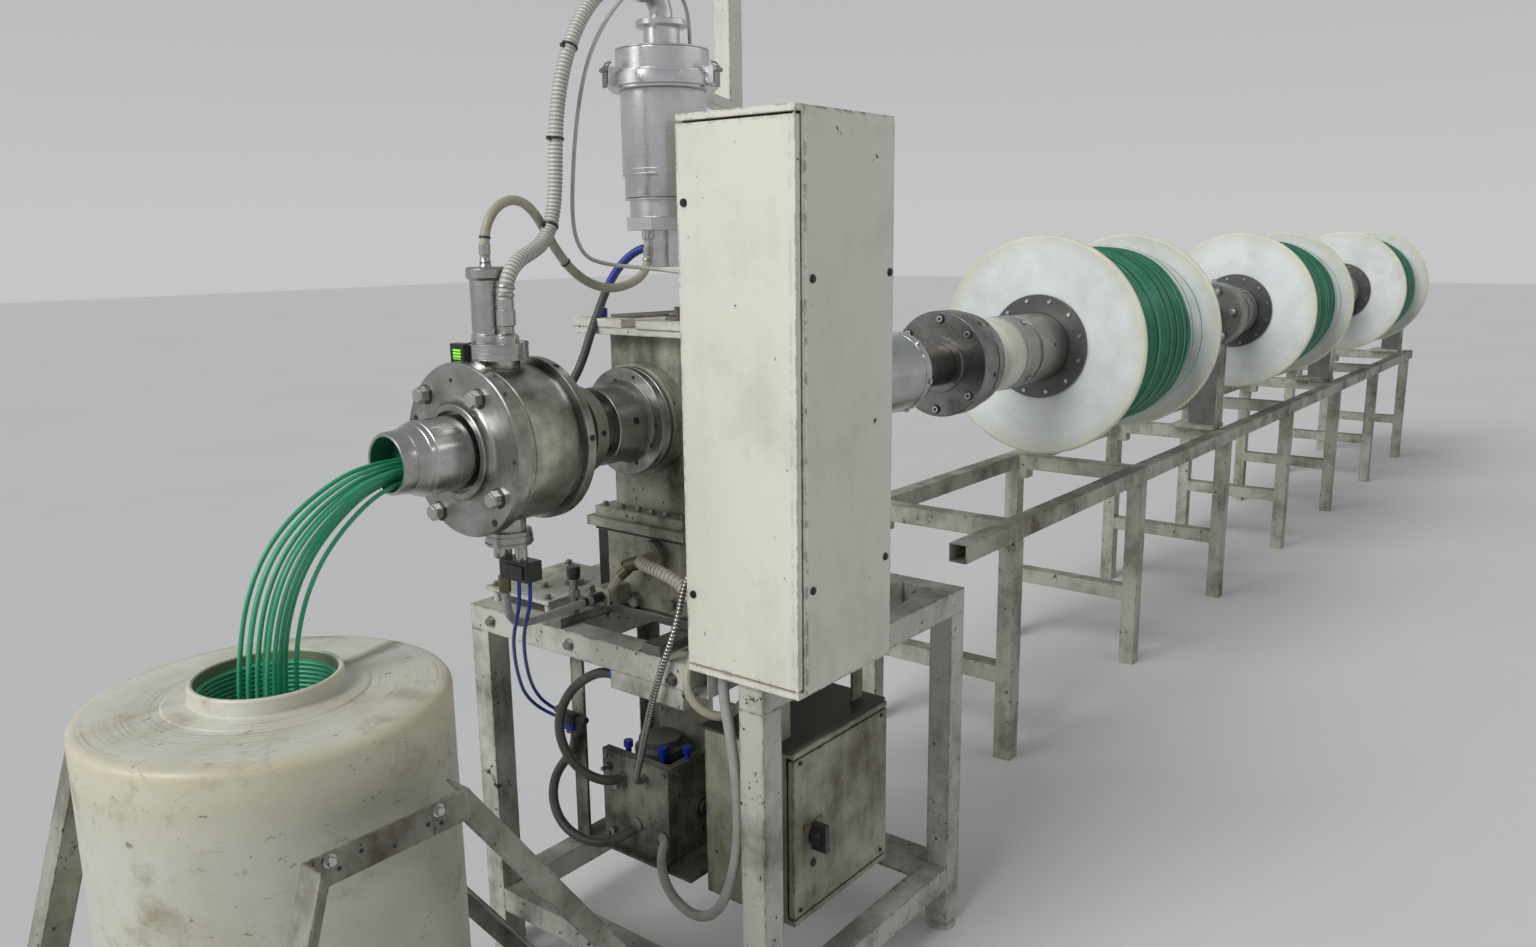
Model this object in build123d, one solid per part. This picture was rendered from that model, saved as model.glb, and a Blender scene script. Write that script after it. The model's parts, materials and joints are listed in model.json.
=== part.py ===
from build123d import *
import math
import os

# Hollow-shaft line that carries reels of plastic strand on one long spindle.
# The line frame used below has X along the spindle, from the receiving drum
# towards the reels, Y across the line and Z up from the floor. X = 0 is the
# left end of the head table and Y = 0 is the spindle's own vertical plane.
# At the end the whole line is moved so that its footprint is centred.
# All sizes are in millimetres.

# Spindle and fits
shaft_height = 1370.0
spindle_radius = 62.0
spindle_bore = 47.0
fit_gap = 0.3
running_gap = 0.4

# Head table, a welded frame of square tube on four levelling feet
table_length = 800.0
table_width = 886.0
shaft_over_table = 464.0
table_height = shaft_height - shaft_over_table
tube_side = 60.0
tube_wall = 3.0
foot_height = 18.0
foot_radius = 36.0
base_rail_height = 180.0
inner_beam_spacing = 300.0
near_beam_y = -275.0
end_rail_near = -245.0
post_beam_x = 678.0
slide_rail_width = 50.0
slide_rail_thickness = 22.0
saddle_start = 110.0
saddle_length = 450.0
saddle_width = 400.0
saddle_thickness = 20.0

# Base block, slide plates and bearing housing that stand on the saddle
block_start = 124.0
block_length = 262.0
block_width = 264.0
shaft_over_plates = 206.0
boss_radius = 34.0
boss_length = 22.0
boss_y = -53.0
boss_drop = 42.0
drain_valve_length = 64.0
drain_valve_y = 52.0
drain_valve_rise = 32.0
slide_plate_overhang = 14.0
slide_plate_thickness = 22.0
housing_start = 160.0
housing_length = 240.0
housing_width = 220.0
housing_boss_radius = 122.0
housing_boss_length = 36.0
shelf_start = 120.0
shelf_length = 310.0
shelf_width = 342.0
shelf_thickness = 15.0
shelf_over_shaft = 195.0

# Quill and the round parts of the strand head, measured along the spindle
quill_radius = 65.0
sleeve_radius = 82.0
sleeve_length = 90.0
hub_flange_radius = 115.0
hub_flange_thickness = 31.0
clamp_radius = 90.0
clamp_width = 30.0
clamp_position = -66.0
head_start = -328.0
cover_radius = 164.0
front_cover_thickness = 28.0
head_radius = 150.0
head_length = 141.0
rear_cover_radius = 160.0
rear_cover_thickness = 22.0
collar_radius = 85.0
collar_length = 34.0
outlet_collar_radius = 90.0
outlet_collar_length = 19.0
outlet_collar_gap = 5.0
outlet_step_radius = 72.0
outlet_step_length = 98.0
outlet_tip_radius = 55.0
outlet_tip_length = 45.0
outlet_bore = 49.0
guide_plate_thickness = 6.0

# Ports on the head
port_ring_rise = 162.0
port_ring_thickness = 31.0
port_ring_radius = 56.0
cylinder_y = 24.0
cylinder_height = 140.0
nipple_length = 19.0
bottom_port_drop = 170.0
bottom_ring_thickness = 28.0
drain_length = 90.0
drain_y = 22.0
sensor_near = -68.0

# Tall cabinet on the table, with its door on the end face
cabinet_x = 4.0
cabinet_right = 300.0
cabinet_near = -540.0
cabinet_depth = 272.0
cabinet_height = 1066.0
sheet = 2.0
door_thickness = 14.0
door_lip = 12.0
door_gap = 5.0
pin_radius = 3.0
pin_inset = 5.5
side_cover_thickness = 3.0

# Lower cabinet, hung below the near table rail, with its door to the front
lower_left = 108.0
lower_width = 352.0
lower_drop = 184.0
lower_height = 387.0
lower_front = -435.0
lower_depth = 220.0
hanger_width = 40.0
hanger_thickness = 6.0
switch_x = 172.0
switch_z = 520.0
switch_plate = 62.0
switch_plate_thickness = 3.0
knob_radius = 19.0
knob_length = 26.0
knob_gap = 0.3

# Drive frame and units under the table
drive_left = 70.0
drive_right = 330.0
drive_near = -180.0
drive_far = 180.0
drive_depth = 476.0
angle_side = 40.0
angle_thickness = 4.0
shelf_plate = 8.0
gear_left = 125.0
gear_length = 160.0
gear_near = -145.0
gear_depth = 85.0
gear_height = 302.0
unit_gap = 5.0
pump_length = 105.0
pump_depth = 140.0
pump_height = 230.0
valve_length = 90.0
valve_rise = 150.0
valve_height = 80.0
hanger_near = -232.0
hanger_length = 210.0
hanger_height = 44.0
tee_rise = 270.0

# Reels and what holds them on the spindle
reel_count = 3
reel_pitch = 2236.0
first_reel = 2123.0
reel_width = 800.0
reel_radius = 380.0
flange_thickness = 24.0
flange_rounding = 4.0
reel_barrel_radius = 190.0
reel_barrel_wall = 12.0
reel_bore = 120.0
winding_radius = 335.0
winding_share = 0.80
winding_slope = 40.0
winding_drop = 25.0
hub_plate_radius = 179.0
hub_plate_thickness = 14.0
hub_tube_radius = 117.0
hub_tube_wall = 12.0
hub_tube_lead = 150.0
hub_tube_tail = 60.0
hub_web = 20.0
hub_clamp_radius = 121.0
hub_clamp_width = 95.0
hub_groove_depth = 6.0
hub_groove_width = 30.0
hub_tube_start = 1790.0
cone_neck_length = 60.0
cone_slope_length = 70.0
cone_small_radius = 98.0
cone_large_radius = 119.0
disc_start = 1430.0
disc_radius = 160.0
disc_thickness = 77.0
disc_nose_radius = 86.0
disc_nose_length = 8.0
disc_back_radius = 151.0
disc_back_thickness = 71.0
barrel_start = 420.0
barrel_end = 1205.0
barrel_radius = 112.0
spindle_start = 470.0

# Bearing stands of the spindle between the reels
bearing_position = 4010.0
bearing_width = 120.0
bearing_radius = 150.0
bearing_foot_width = 200.0
bearing_foot_thickness = 20.0

# Reel stand, two long rails on legs beside the spindle
stand_start = 1400.0
stand_near = -125.0
stand_width = 600.0
stand_height = 830.0
stand_tube = 60.0
stand_leg_start = 1735.0
stand_low_rail = 330.0
leg_ear = 40.0

# Suction canister on its post
post_side = 50.0
post_x = 683.0
post_y = 180.0
canister_x = 245.0
canister_over_shelf = 204.0
canister_below_post = 308.0
canister_height = 286.0
canister_radius = 91.0
canister_ring_radius = 116.0
canister_ring_height = 37.0
flange_width = 170.0
canister_flange = 27.0
nozzle_offset = 60.0
nozzle_length = 35.0
lug_turn = 160.0
cap_height = 48.0
neck_height = 58.0
elbow_bend = 50.0
elbow_radius = 24.0
arm_width = 40.0
arm_height = 25.0

# Receiving drum and its stand
drum_x = -740.0
drum_radius = 290.0
drum_bottom = 62.0
drum_top = 1030.0
drum_wall = 12.0
drum_hole = 110.0
drum_collar_radius = 119.0
drum_collar_height = 35.0
coil_top = 1000.0
heap_top = 930.0
coil_radius = 272.0
coil_neck_drop = 15.0
coil_neck_width = 8.0

# Drum stand
channel_length = 560.0
channel_width = 60.0
channel_wall = 5.0
channel_spacing = 280.0
hoop_before = 160.0
hoop_after = 120.0
hoop_top = 920.0
hoop_height = 50.0
hoop_offset = 350.0
bar_thickness = 6.0
leg_side = 50.0
brace_foot = 50.0
leg_lean = 280.0
spacer_height = 20.0

# Cords
strand_diameter = 8.0
suction_hose = 30.0
port_hose = 19.0
sensor_cable = 8.0
air_hose = 20.0
cabinet_hose = 22.0
conduit_diameter = 16.0
loop_hose = 22.0
drain_hose = 18.0
air_tube = 8.0

nodes = {}
cord_names = []


def add(name, *solids):
    """Keep the solids of one named piece."""
    nodes[name] = list(solids)


def block(x0, x1, y0, y1, z0, z1):
    """Box between two corners."""
    width = x1 - x0
    depth = y1 - y0
    height = z1 - z0
    centre = ((x0 + x1) / 2, (y0 + y1) / 2, (z0 + z1) / 2)
    return Pos(*centre) * Box(width, depth, height)


def square_tube(x0, x1, y0, y1, z0, z1, axis):
    """Hollow square tube that fills the box and is open along one axis."""
    outer = block(x0, x1, y0, y1, z0, z1)
    inset = [0 if axis == name else tube_wall for name in "XYZ"]
    inner = block(x0 + inset[0], x1 - inset[0], y0 + inset[1], y1 - inset[1],
                  z0 + inset[2], z1 - inset[2])
    return outer - inner


def ring_x(radius, bore, x0, x1, y=0.0, z=None):
    """Round piece along X, bored right through where bore is over zero."""
    height = shaft_height if z is None else z
    place = Pos((x0 + x1) / 2, y, height) * Rot(0, 90, 0)
    piece = place * Cylinder(radius, x1 - x0)
    if bore > 0:
        piece = piece - place * Cylinder(bore, x1 - x0 + 2)
    return piece


def ring_z(radius, bore, z0, z1, x, y):
    """Round piece along Z, bored right through where bore is over zero."""
    place = Pos(x, y, (z0 + z1) / 2)
    piece = place * Cylinder(radius, z1 - z0)
    if bore > 0:
        piece = piece - place * Cylinder(bore, z1 - z0 + 2)
    return piece


def turned(profile):
    """Revolve a list of (x, radius) points about the spindle's axis."""
    points = [(x, 0.0, shaft_height + radius) for x, radius in profile]
    face = make_face(Polyline(*points, close=True))
    return revolve(face, Axis((0, 0, shaft_height), (1, 0, 0)), 360)


def turned_z(profile, x, y):
    """Revolve a list of (radius, z) points about a vertical axis."""
    points = [(x + radius, y, z) for radius, z in profile]
    face = make_face(Polyline(*points, close=True))
    return revolve(face, Axis((x, y, 0), (0, 0, 1)), 360)


# Head table
half_width = table_width / 2
rail_bottom = table_height - tube_side

legs = []
for x0 in (0.0, table_length - tube_side):
    for y0 in (-half_width, half_width - tube_side):
        leg = square_tube(x0, x0 + tube_side, y0, y0 + tube_side,
                          foot_height, rail_bottom, "Z")
        leg = leg + block(x0, x0 + tube_side, y0, y0 + tube_side, foot_height,
                          foot_height + tube_wall)
        foot_x = x0 + tube_side / 2
        foot_y = y0 + tube_side / 2
        foot = turned_z([(0, 0), (foot_radius, 0), (foot_radius, foot_height / 3),
                         (foot_radius / 2, foot_height), (0, foot_height)], foot_x, foot_y)
        legs.append(leg + foot)
add("table_legs", *legs)

top_rails = []
for y0 in (-half_width, half_width - tube_side):
    rail = block(0, table_length, y0, y0 + tube_side, rail_bottom, table_height)
    hollow = block(tube_wall, table_length - tube_wall, y0 + tube_wall,
                   y0 + tube_side - tube_wall, rail_bottom + tube_wall,
                   table_height - tube_wall)
    top_rails.append(rail - hollow)
inner_y0 = -half_width + tube_side
inner_y1 = half_width - tube_side
for x0, y0 in ((0.0, end_rail_near), (table_length - tube_side, inner_y0)):
    top_rails.append(square_tube(x0, x0 + tube_side, y0, inner_y1,
                                 rail_bottom, table_height, "Y"))
near_beam = square_tube(0, table_length - tube_side, near_beam_y - tube_side / 2,
                        near_beam_y + tube_side / 2, rail_bottom, table_height, "X")
top_rails.append(near_beam)

for centre_y in (-inner_beam_spacing / 2, inner_beam_spacing / 2):
    top_rails.append(square_tube(tube_side, table_length - tube_side,
                                 centre_y - tube_side / 2, centre_y + tube_side / 2,
                                 rail_bottom, table_height, "X"))
post_beam_half = inner_beam_spacing / 2 - tube_side / 2
top_rails.append(square_tube(post_beam_x, post_beam_x + tube_side, -post_beam_half,
                             post_beam_half, rail_bottom, table_height, "Y"))
hanger_bottom = rail_bottom - hanger_height
hanger_end = hanger_near + hanger_length
top_rails.append(block(4, tube_side - 4, hanger_near, hanger_end, hanger_bottom, rail_bottom))
top_frame = top_rails[0]
for rail in top_rails[1:]:
    top_frame = top_frame + rail
add("table_top_frame", top_frame)

base_rails = []
for y0 in (-half_width, half_width - tube_side):
    base_rails.append(square_tube(tube_side, table_length - tube_side, y0, y0 + tube_side,
                                  base_rail_height - tube_side, base_rail_height, "X"))
for x0 in (0.0, table_length - tube_side):
    base_rails.append(square_tube(x0, x0 + tube_side, inner_y0, inner_y1,
                                  base_rail_height - tube_side, base_rail_height, "Y"))
add("table_base_rails", *base_rails)

slide_top = table_height + slide_rail_thickness
slide_rails = []
for centre_y in (-inner_beam_spacing / 2, inner_beam_spacing / 2):
    slide_rails.append(block(0, table_length, centre_y - slide_rail_width / 2,
                             centre_y + slide_rail_width / 2, table_height, slide_top))
add("slide_rails", *slide_rails)

saddle_top = slide_top + saddle_thickness
add("saddle_plate", block(saddle_start, saddle_start + saddle_length,
                          -saddle_width / 2, saddle_width / 2, slide_top, saddle_top))

# Base block, slide plates and bearing housing
block_top = shaft_height - shaft_over_plates - 2 * slide_plate_thickness
base_block = block(block_start, block_start + block_length,
                   -block_width / 2, block_width / 2, saddle_top, block_top)
base_block = chamfer(base_block.edges().filter_by(Axis.Z), 10)
boss_face = block_start - boss_length
boss = ring_x(boss_radius, 0, boss_face, block_start, boss_y, block_top - boss_drop)
valve_face = block_start - drain_valve_length
drain_valve_z = saddle_top + drain_valve_rise
drain_valve = block(valve_face, block_start, drain_valve_y - 20, drain_valve_y + 20,
                    drain_valve_z - 20, drain_valve_z + 20)
base_block = base_block + boss + drain_valve
add("base_block", base_block)

plate_top = block_top + 2 * slide_plate_thickness
lower_plate = block(block_start - slide_plate_overhang,
                    block_start + block_length + slide_plate_overhang,
                    -block_width / 2 - slide_plate_overhang,
                    block_width / 2 + slide_plate_overhang,
                    block_top, block_top + slide_plate_thickness)
upper_plate = block(block_start, block_start + block_length,
                    -block_width / 2, block_width / 2,
                    block_top + slide_plate_thickness, plate_top)
add("slide_plates", lower_plate + upper_plate)

housing_end = housing_start + housing_length
shelf_height = shaft_height + shelf_over_shaft
shelf_bottom = shelf_height - shelf_thickness
housing = block(housing_start, housing_end, -housing_width / 2, housing_width / 2,
                plate_top, shelf_bottom)
housing = fillet(housing.edges().filter_by(Axis.Z), 18)
housing = housing + ring_x(housing_boss_radius, 0, housing_start - housing_boss_length,
                           housing_end + housing_boss_length)
housing = housing - ring_x(quill_radius + fit_gap, 0,
                           housing_start - housing_boss_length - 1,
                           housing_end + housing_boss_length + 1)
add("bearing_housing", housing)
add("housing_shelf", block(shelf_start, shelf_start + shelf_length,
                           -shelf_width / 2, shelf_width / 2, shelf_bottom, shelf_height))

# Hub, sleeve and clamp ring in front of the housing
housing_face = housing_start - housing_boss_length
hub_face = housing_face - hub_flange_thickness
hub = turned([
    (hub_face - sleeve_length, quill_radius + fit_gap),
    (hub_face - sleeve_length, sleeve_radius),
    (hub_face, sleeve_radius),
    (hub_face, hub_flange_radius),
    (housing_face - fit_gap, hub_flange_radius),
    (housing_face - fit_gap, quill_radius + fit_gap),
])
add("hub_flange", hub)

quill_end = barrel_start
rear_face = head_start + front_cover_thickness + head_length + rear_cover_thickness
add("quill_tube", ring_x(quill_radius, spindle_bore, rear_face, quill_end))

clamp = ring_x(clamp_radius, quill_radius + fit_gap, clamp_position,
               clamp_position + clamp_width)
clamp = clamp - block(clamp_position - 1, clamp_position + clamp_width + 1, -3, 3,
                      shaft_height, shaft_height + clamp_radius + 1)
add("quill_clamp", clamp)

# Strand head
cover_back = head_start + front_cover_thickness
head_back = cover_back + head_length
collar_end = rear_face + collar_length
collar_front = head_start - outlet_collar_length
edge = 3.0
add("head_front_cover", turned([
    (cover_back, outlet_bore),
    (cover_back, cover_radius),
    (head_start + edge, cover_radius),
    (head_start, cover_radius - edge),
    (head_start, outlet_collar_radius),
    (collar_front + edge, outlet_collar_radius),
    (collar_front, outlet_collar_radius - edge),
    (collar_front, outlet_step_radius + outlet_collar_gap),
    (head_start, outlet_step_radius + outlet_collar_gap),
    (head_start, outlet_bore),
]))
add("head_body", turned([
    (cover_back, outlet_bore),
    (cover_back, head_radius - 6),
    (cover_back + 6, head_radius),
    (head_back - 10, head_radius),
    (head_back, head_radius - 10),
    (head_back, outlet_bore),
]))
add("head_rear_cover", turned([
    (head_back, outlet_bore),
    (head_back, rear_cover_radius),
    (rear_face, rear_cover_radius),
    (rear_face, collar_radius),
    (collar_end, collar_radius),
    (collar_end, quill_radius + fit_gap),
    (rear_face - 2, quill_radius + fit_gap),
    (rear_face - 2, outlet_bore),
]))
step_front = collar_front - outlet_step_length
tip_front = step_front - outlet_tip_length
outlet = turned([
    (head_start, outlet_bore),
    (head_start, outlet_step_radius),
    (step_front + 8, outlet_step_radius),
    (step_front, outlet_step_radius - 6),
    (step_front, outlet_tip_radius + 3),
    (step_front - 6, outlet_tip_radius),
    (tip_front, outlet_tip_radius),
    (tip_front, outlet_bore),
])
guide_face = step_front
add("outlet_tube", outlet + ring_x(outlet_bore, 0, guide_face,
                                   guide_face + guide_plate_thickness))

# Ports on the head
port_x = cover_back + head_length / 2
port_ring_bottom = shaft_height + port_ring_rise
port_ring_top = port_ring_bottom + port_ring_thickness
port_neck = ring_z(39, 0, shaft_height, port_ring_bottom, port_x, 0)
port_neck = port_neck - ring_x(head_radius + fit_gap, 0, head_start, rear_face)
port_ring = ring_z(port_ring_radius, 0, port_ring_bottom, port_ring_top, port_x, 0)
cylinder_top = port_ring_top + cylinder_height
add("port_cylinder", turned_z([
    (0, port_ring_top), (34, port_ring_top), (34, port_ring_top + 14),
    (31, port_ring_top + 16), (31, cylinder_top - 22), (38, cylinder_top - 20),
    (38, cylinder_top - 2), (36, cylinder_top), (port_hose / 2, cylinder_top),
    (port_hose / 2, cylinder_top + nipple_length), (0, cylinder_top + nipple_length),
], port_x, cylinder_y))
elbow_x = port_x - 8
elbow_y = -37.0
fitting_top = port_ring_top + 62
hose_fitting = turned_z([
    (0, port_ring_top), (22, port_ring_top), (22, port_ring_top + 14),
    (suction_hose / 2 - 1, port_ring_top + 20), (suction_hose / 2 - 1, fitting_top - 30),
    (suction_hose / 2 + 3, fitting_top - 28), (suction_hose / 2 + 3, fitting_top),
    (0, fitting_top),
], elbow_x, elbow_y)
add("top_port", port_neck + port_ring + hose_fitting)

bottom_ring_top = shaft_height - bottom_port_drop
bottom_ring_low = bottom_ring_top - bottom_ring_thickness
drain_end = bottom_ring_low - drain_length
bottom_ring = ring_z(44, 0, bottom_ring_low, bottom_ring_top, port_x, 0)
bottom_neck = ring_z(34, 0, bottom_ring_top, shaft_height, port_x, 0)
bottom_neck = bottom_neck - ring_x(head_radius + fit_gap, 0, head_start, rear_face)
drain = turned_z([
    (0, bottom_ring_low), (18, bottom_ring_low), (18, bottom_ring_low - 30),
    (drain_hose / 2, bottom_ring_low - 34), (drain_hose / 2, drain_end), (0, drain_end),
], port_x, drain_y)
sensor = block(port_x - 19, port_x + 19, sensor_near, drain_y - drain_hose / 2 - 2,
               bottom_ring_low - 66, bottom_ring_low - 28)
sensor_stem = ring_z(12, 0, bottom_ring_low - 30, bottom_ring_low, port_x, sensor_near + 35)
add("bottom_port", bottom_ring + bottom_neck + drain + sensor + sensor_stem)

# Tall cabinet
cabinet_bottom = table_height
cabinet_top = cabinet_bottom + cabinet_height
cabinet_far = cabinet_near + cabinet_depth
door_front = cabinet_x - door_gap - door_thickness
shell = block(cabinet_x, cabinet_right, cabinet_near, cabinet_far, cabinet_bottom,
              cabinet_top)
shell = shell - block(cabinet_x - 1, cabinet_right - sheet, cabinet_near + sheet,
                      cabinet_far - sheet, cabinet_bottom + sheet, cabinet_top - sheet)
pin_x = door_front + pin_inset
pin_y = cabinet_near + pin_inset
for z0, z1 in ((cabinet_bottom, cabinet_bottom + door_lip),
               (cabinet_top - door_lip, cabinet_top)):
    lip = block(door_front, cabinet_x, cabinet_near, cabinet_far, z0, z1)
    lip = lip - ring_z(pin_radius + fit_gap / 3, 0, z0 - 1, z1 + 1, pin_x, pin_y)
    shell = shell + lip
side_cover = block(cabinet_x + 8, cabinet_right - 4, cabinet_near - side_cover_thickness,
                   cabinet_near, cabinet_bottom + 4, cabinet_top - 4)
add("tall_cabinet", shell + side_cover)

door_bottom = cabinet_bottom + door_lip + door_gap
door_top = cabinet_top - door_lip - door_gap
tall_door = block(door_front, door_front + door_thickness, cabinet_near, cabinet_far,
                  door_bottom, door_top)
tall_door = tall_door - block(door_front + sheet, door_front + door_thickness + 1,
                              cabinet_near + pin_inset + pin_radius + sheet,
                              cabinet_far - sheet, door_bottom + sheet, door_top - sheet)
tall_door = tall_door + ring_z(pin_radius, 0, cabinet_bottom + 2, cabinet_top - 2,
                               pin_x, pin_y)
add("tall_cabinet_door", tall_door)

# Lower cabinet
lower_right = lower_left + lower_width
lower_top = table_height - lower_drop
lower_bottom = lower_top - lower_height
lower_face = lower_front + door_thickness + door_gap
lower_back = lower_face + lower_depth
low_shell = block(lower_left, lower_right, lower_face, lower_back, lower_bottom, lower_top)
low_shell = low_shell - block(lower_left + sheet, lower_right - sheet, lower_face - 1,
                              lower_back - sheet, lower_bottom + sheet, lower_top - sheet)
low_pin_x = lower_right - pin_inset
low_pin_y = lower_front + pin_inset
for z0, z1 in ((lower_bottom, lower_bottom + door_lip), (lower_top - door_lip, lower_top)):
    lip = block(lower_left, lower_right, lower_front, lower_face, z0, z1)
    lip = lip - ring_z(pin_radius + fit_gap / 3, 0, z0 - 1, z1 + 1, low_pin_x, low_pin_y)
    low_shell = low_shell + lip

low_door_bottom = lower_bottom + door_lip + door_gap
low_door_top = lower_top - door_lip - door_gap
low_door = block(lower_left, lower_right, lower_front, lower_front + door_thickness,
                 low_door_bottom, low_door_top)
low_door = low_door - block(lower_left + sheet, lower_right - pin_inset - pin_radius - sheet,
                            lower_front + sheet, lower_front + door_thickness + 1,
                            low_door_bottom + sheet, low_door_top - sheet)
low_door = low_door + ring_z(pin_radius, 0, lower_bottom + 2, lower_top - 2,
                             low_pin_x, low_pin_y)
plate_front = lower_front - switch_plate_thickness
switch_base = block(switch_x - switch_plate / 2, switch_x + switch_plate / 2, plate_front,
                    lower_front, switch_z - switch_plate / 2, switch_z + switch_plate / 2)
add("lower_cabinet_door", low_door + switch_base)
knob_place = Pos(switch_x, plate_front - knob_gap - knob_length / 2, switch_z) * Rot(90, 0, 0)
knob = knob_place * Cylinder(knob_radius, knob_length)
knob = knob + block(switch_x - 7, switch_x + 7, plate_front - knob_gap - knob_length - 10,
                    plate_front - knob_gap, switch_z - 30, switch_z + 30)
add("main_switch_knob", knob)

for x0 in (lower_left + 20, lower_right - 20 - hanger_width):
    hanger = block(x0, x0 + hanger_width, inner_y0, inner_y0 + hanger_thickness,
                   lower_top, table_height - 8)
    low_shell = low_shell + hanger
add("lower_cabinet", low_shell)

# Drive frame and units under the table
drive_bottom = rail_bottom - drive_depth
drive_frame = block(drive_left, drive_right, drive_near, drive_far,
                    drive_bottom - shelf_plate, drive_bottom)
for x0, y0 in ((drive_left, drive_near), (drive_left, drive_far - angle_side),
               (drive_right - angle_side, drive_near),
               (drive_right - angle_side, drive_far - angle_side)):
    post = block(x0, x0 + angle_side, y0, y0 + angle_side, drive_bottom, rail_bottom)
    cut_x = x0 + angle_thickness if x0 == drive_left else x0 - 1
    cut_y = y0 + angle_thickness if y0 == drive_near else y0 - 1
    post = post - block(cut_x, cut_x + angle_side - angle_thickness + 1, cut_y,
                        cut_y + angle_side - angle_thickness + 1,
                        drive_bottom - 1, rail_bottom + 1)
    drive_frame = drive_frame + post
gear_unit = block(gear_left, gear_left + gear_length, gear_near, gear_near + gear_depth,
                  drive_bottom, drive_bottom + gear_height)
gear_unit = fillet(gear_unit.edges().filter_by(Axis.Z), 8)
gear_face = gear_near
gear_unit = gear_unit + Pos(gear_left + gear_length / 2, gear_face - 8,
                            drive_bottom + gear_height / 2) * Rot(90, 0, 0) * Cylinder(46, 16)
add("gear_unit", gear_unit)
pump_near = gear_near + gear_depth + unit_gap
pump_left = gear_left + gear_length - pump_length
pump_top = drive_bottom + pump_height
pump = block(pump_left, pump_left + pump_length, pump_near, pump_near + pump_depth,
             drive_bottom, pump_top)
pump = pump + ring_z(38, 0, pump_top, pump_top + 40, pump_left + pump_length / 2,
                     pump_near + pump_depth / 2)
add("pump_block", pump)
valve_bottom = drive_bottom + valve_rise
valve_block = block(pump_left - valve_length, pump_left, pump_near, pump_near + pump_depth,
                    valve_bottom, valve_bottom + valve_height)
for y in (pump_near + 30, pump_near + pump_depth - 30):
    valve_block = valve_block + ring_z(11, 0, valve_bottom + valve_height,
                                       valve_bottom + valve_height + 22,
                                       pump_left - valve_length / 2, y)
add("valve_block", valve_block)
tee_z = drive_bottom + tee_rise
tee = block(drive_left - 26, drive_left, drive_far - angle_side, drive_far - 4, tee_z,
            tee_z + 44)
add("drive_frame", drive_frame + tee)

# Fixed barrel to the right of the housing
add("bearing_barrel", ring_x(barrel_radius, spindle_radius + running_gap,
                             barrel_start + 16, barrel_end))

# Spindle and reels
spindle_end = bearing_position + (reel_count - 1) * reel_pitch + bearing_width
add("spindle", ring_x(spindle_radius, spindle_bore, spindle_start, spindle_end))
disc_step = disc_start + disc_thickness
disc_end = disc_step + disc_back_thickness
cone_low = disc_end + cone_neck_length
add("coupling_disc", turned([
    (disc_start - disc_nose_length, spindle_radius + fit_gap),
    (disc_start - disc_nose_length, disc_nose_radius),
    (disc_start, disc_nose_radius),
    (disc_start, disc_radius),
    (disc_step, disc_radius),
    (disc_step, disc_back_radius),
    (disc_end, disc_back_radius),
    (disc_end, spindle_radius + fit_gap),
]))
add("cone_spacer", turned([
    (disc_end, spindle_radius + fit_gap),
    (disc_end, cone_small_radius),
    (cone_low, cone_small_radius),
    (cone_low + cone_slope_length, cone_large_radius),
    (hub_tube_start, cone_large_radius),
    (hub_tube_start, spindle_radius + fit_gap),
]))

hub_tubes = []
hub_plates = []
reels = []
windings = []
for index in range(reel_count):
    left = first_reel + index * reel_pitch
    right = left + reel_width
    plate_left = left - hub_plate_thickness
    tube_left = hub_tube_start if index == 0 else plate_left - hub_tube_lead
    tube_right = right + hub_tube_tail
    web_left = tube_left + hub_web
    web_right = tube_right - hub_web
    clamp_right = tube_left + hub_clamp_width
    groove_right = clamp_right + hub_groove_width
    hub_tubes.append(turned([
        (tube_left, spindle_radius + fit_gap),
        (tube_left, hub_clamp_radius),
        (clamp_right, hub_clamp_radius),
        (clamp_right, hub_tube_radius - hub_groove_depth),
        (groove_right, hub_tube_radius - hub_groove_depth),
        (groove_right, hub_tube_radius),
        (tube_right, hub_tube_radius),
        (tube_right, spindle_radius + fit_gap),
        (web_right, spindle_radius + fit_gap),
        (web_right, hub_tube_radius - hub_tube_wall),
        (web_left, hub_tube_radius - hub_tube_wall),
        (web_left, spindle_radius + fit_gap),
    ]))
    hub_plates.append(ring_x(hub_plate_radius, hub_tube_radius + fit_gap, plate_left, left))
    hub_plates.append(ring_x(hub_plate_radius, hub_tube_radius + fit_gap, right,
                             right + hub_plate_thickness))
    inner_left = left + flange_thickness
    inner_right = right - flange_thickness
    lip = flange_rounding
    reels.append(turned([
        (left, reel_bore),
        (left, reel_radius - lip),
        (left + lip, reel_radius),
        (inner_left - lip, reel_radius),
        (inner_left, reel_radius - lip),
        (inner_left, reel_barrel_radius),
        (inner_right, reel_barrel_radius),
        (inner_right, reel_radius - lip),
        (inner_right + lip, reel_radius),
        (right - lip, reel_radius),
        (right, reel_radius - lip),
        (right, reel_bore),
        (inner_right, reel_bore),
        (inner_right, reel_barrel_radius - reel_barrel_wall),
        (inner_left, reel_barrel_radius - reel_barrel_wall),
        (inner_left, reel_bore),
    ]))
    wound = inner_left + (inner_right - inner_left) * winding_share
    windings.append(turned([
        (inner_left, reel_barrel_radius + fit_gap),
        (inner_left, winding_radius),
        (wound - winding_slope, winding_radius),
        (wound, winding_radius - winding_drop),
        (wound, reel_barrel_radius + fit_gap),
    ]))
add("hub_tubes", *hub_tubes)
add("hub_plates", *hub_plates)
add("reels", *reels)
add("windings", *windings)

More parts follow.
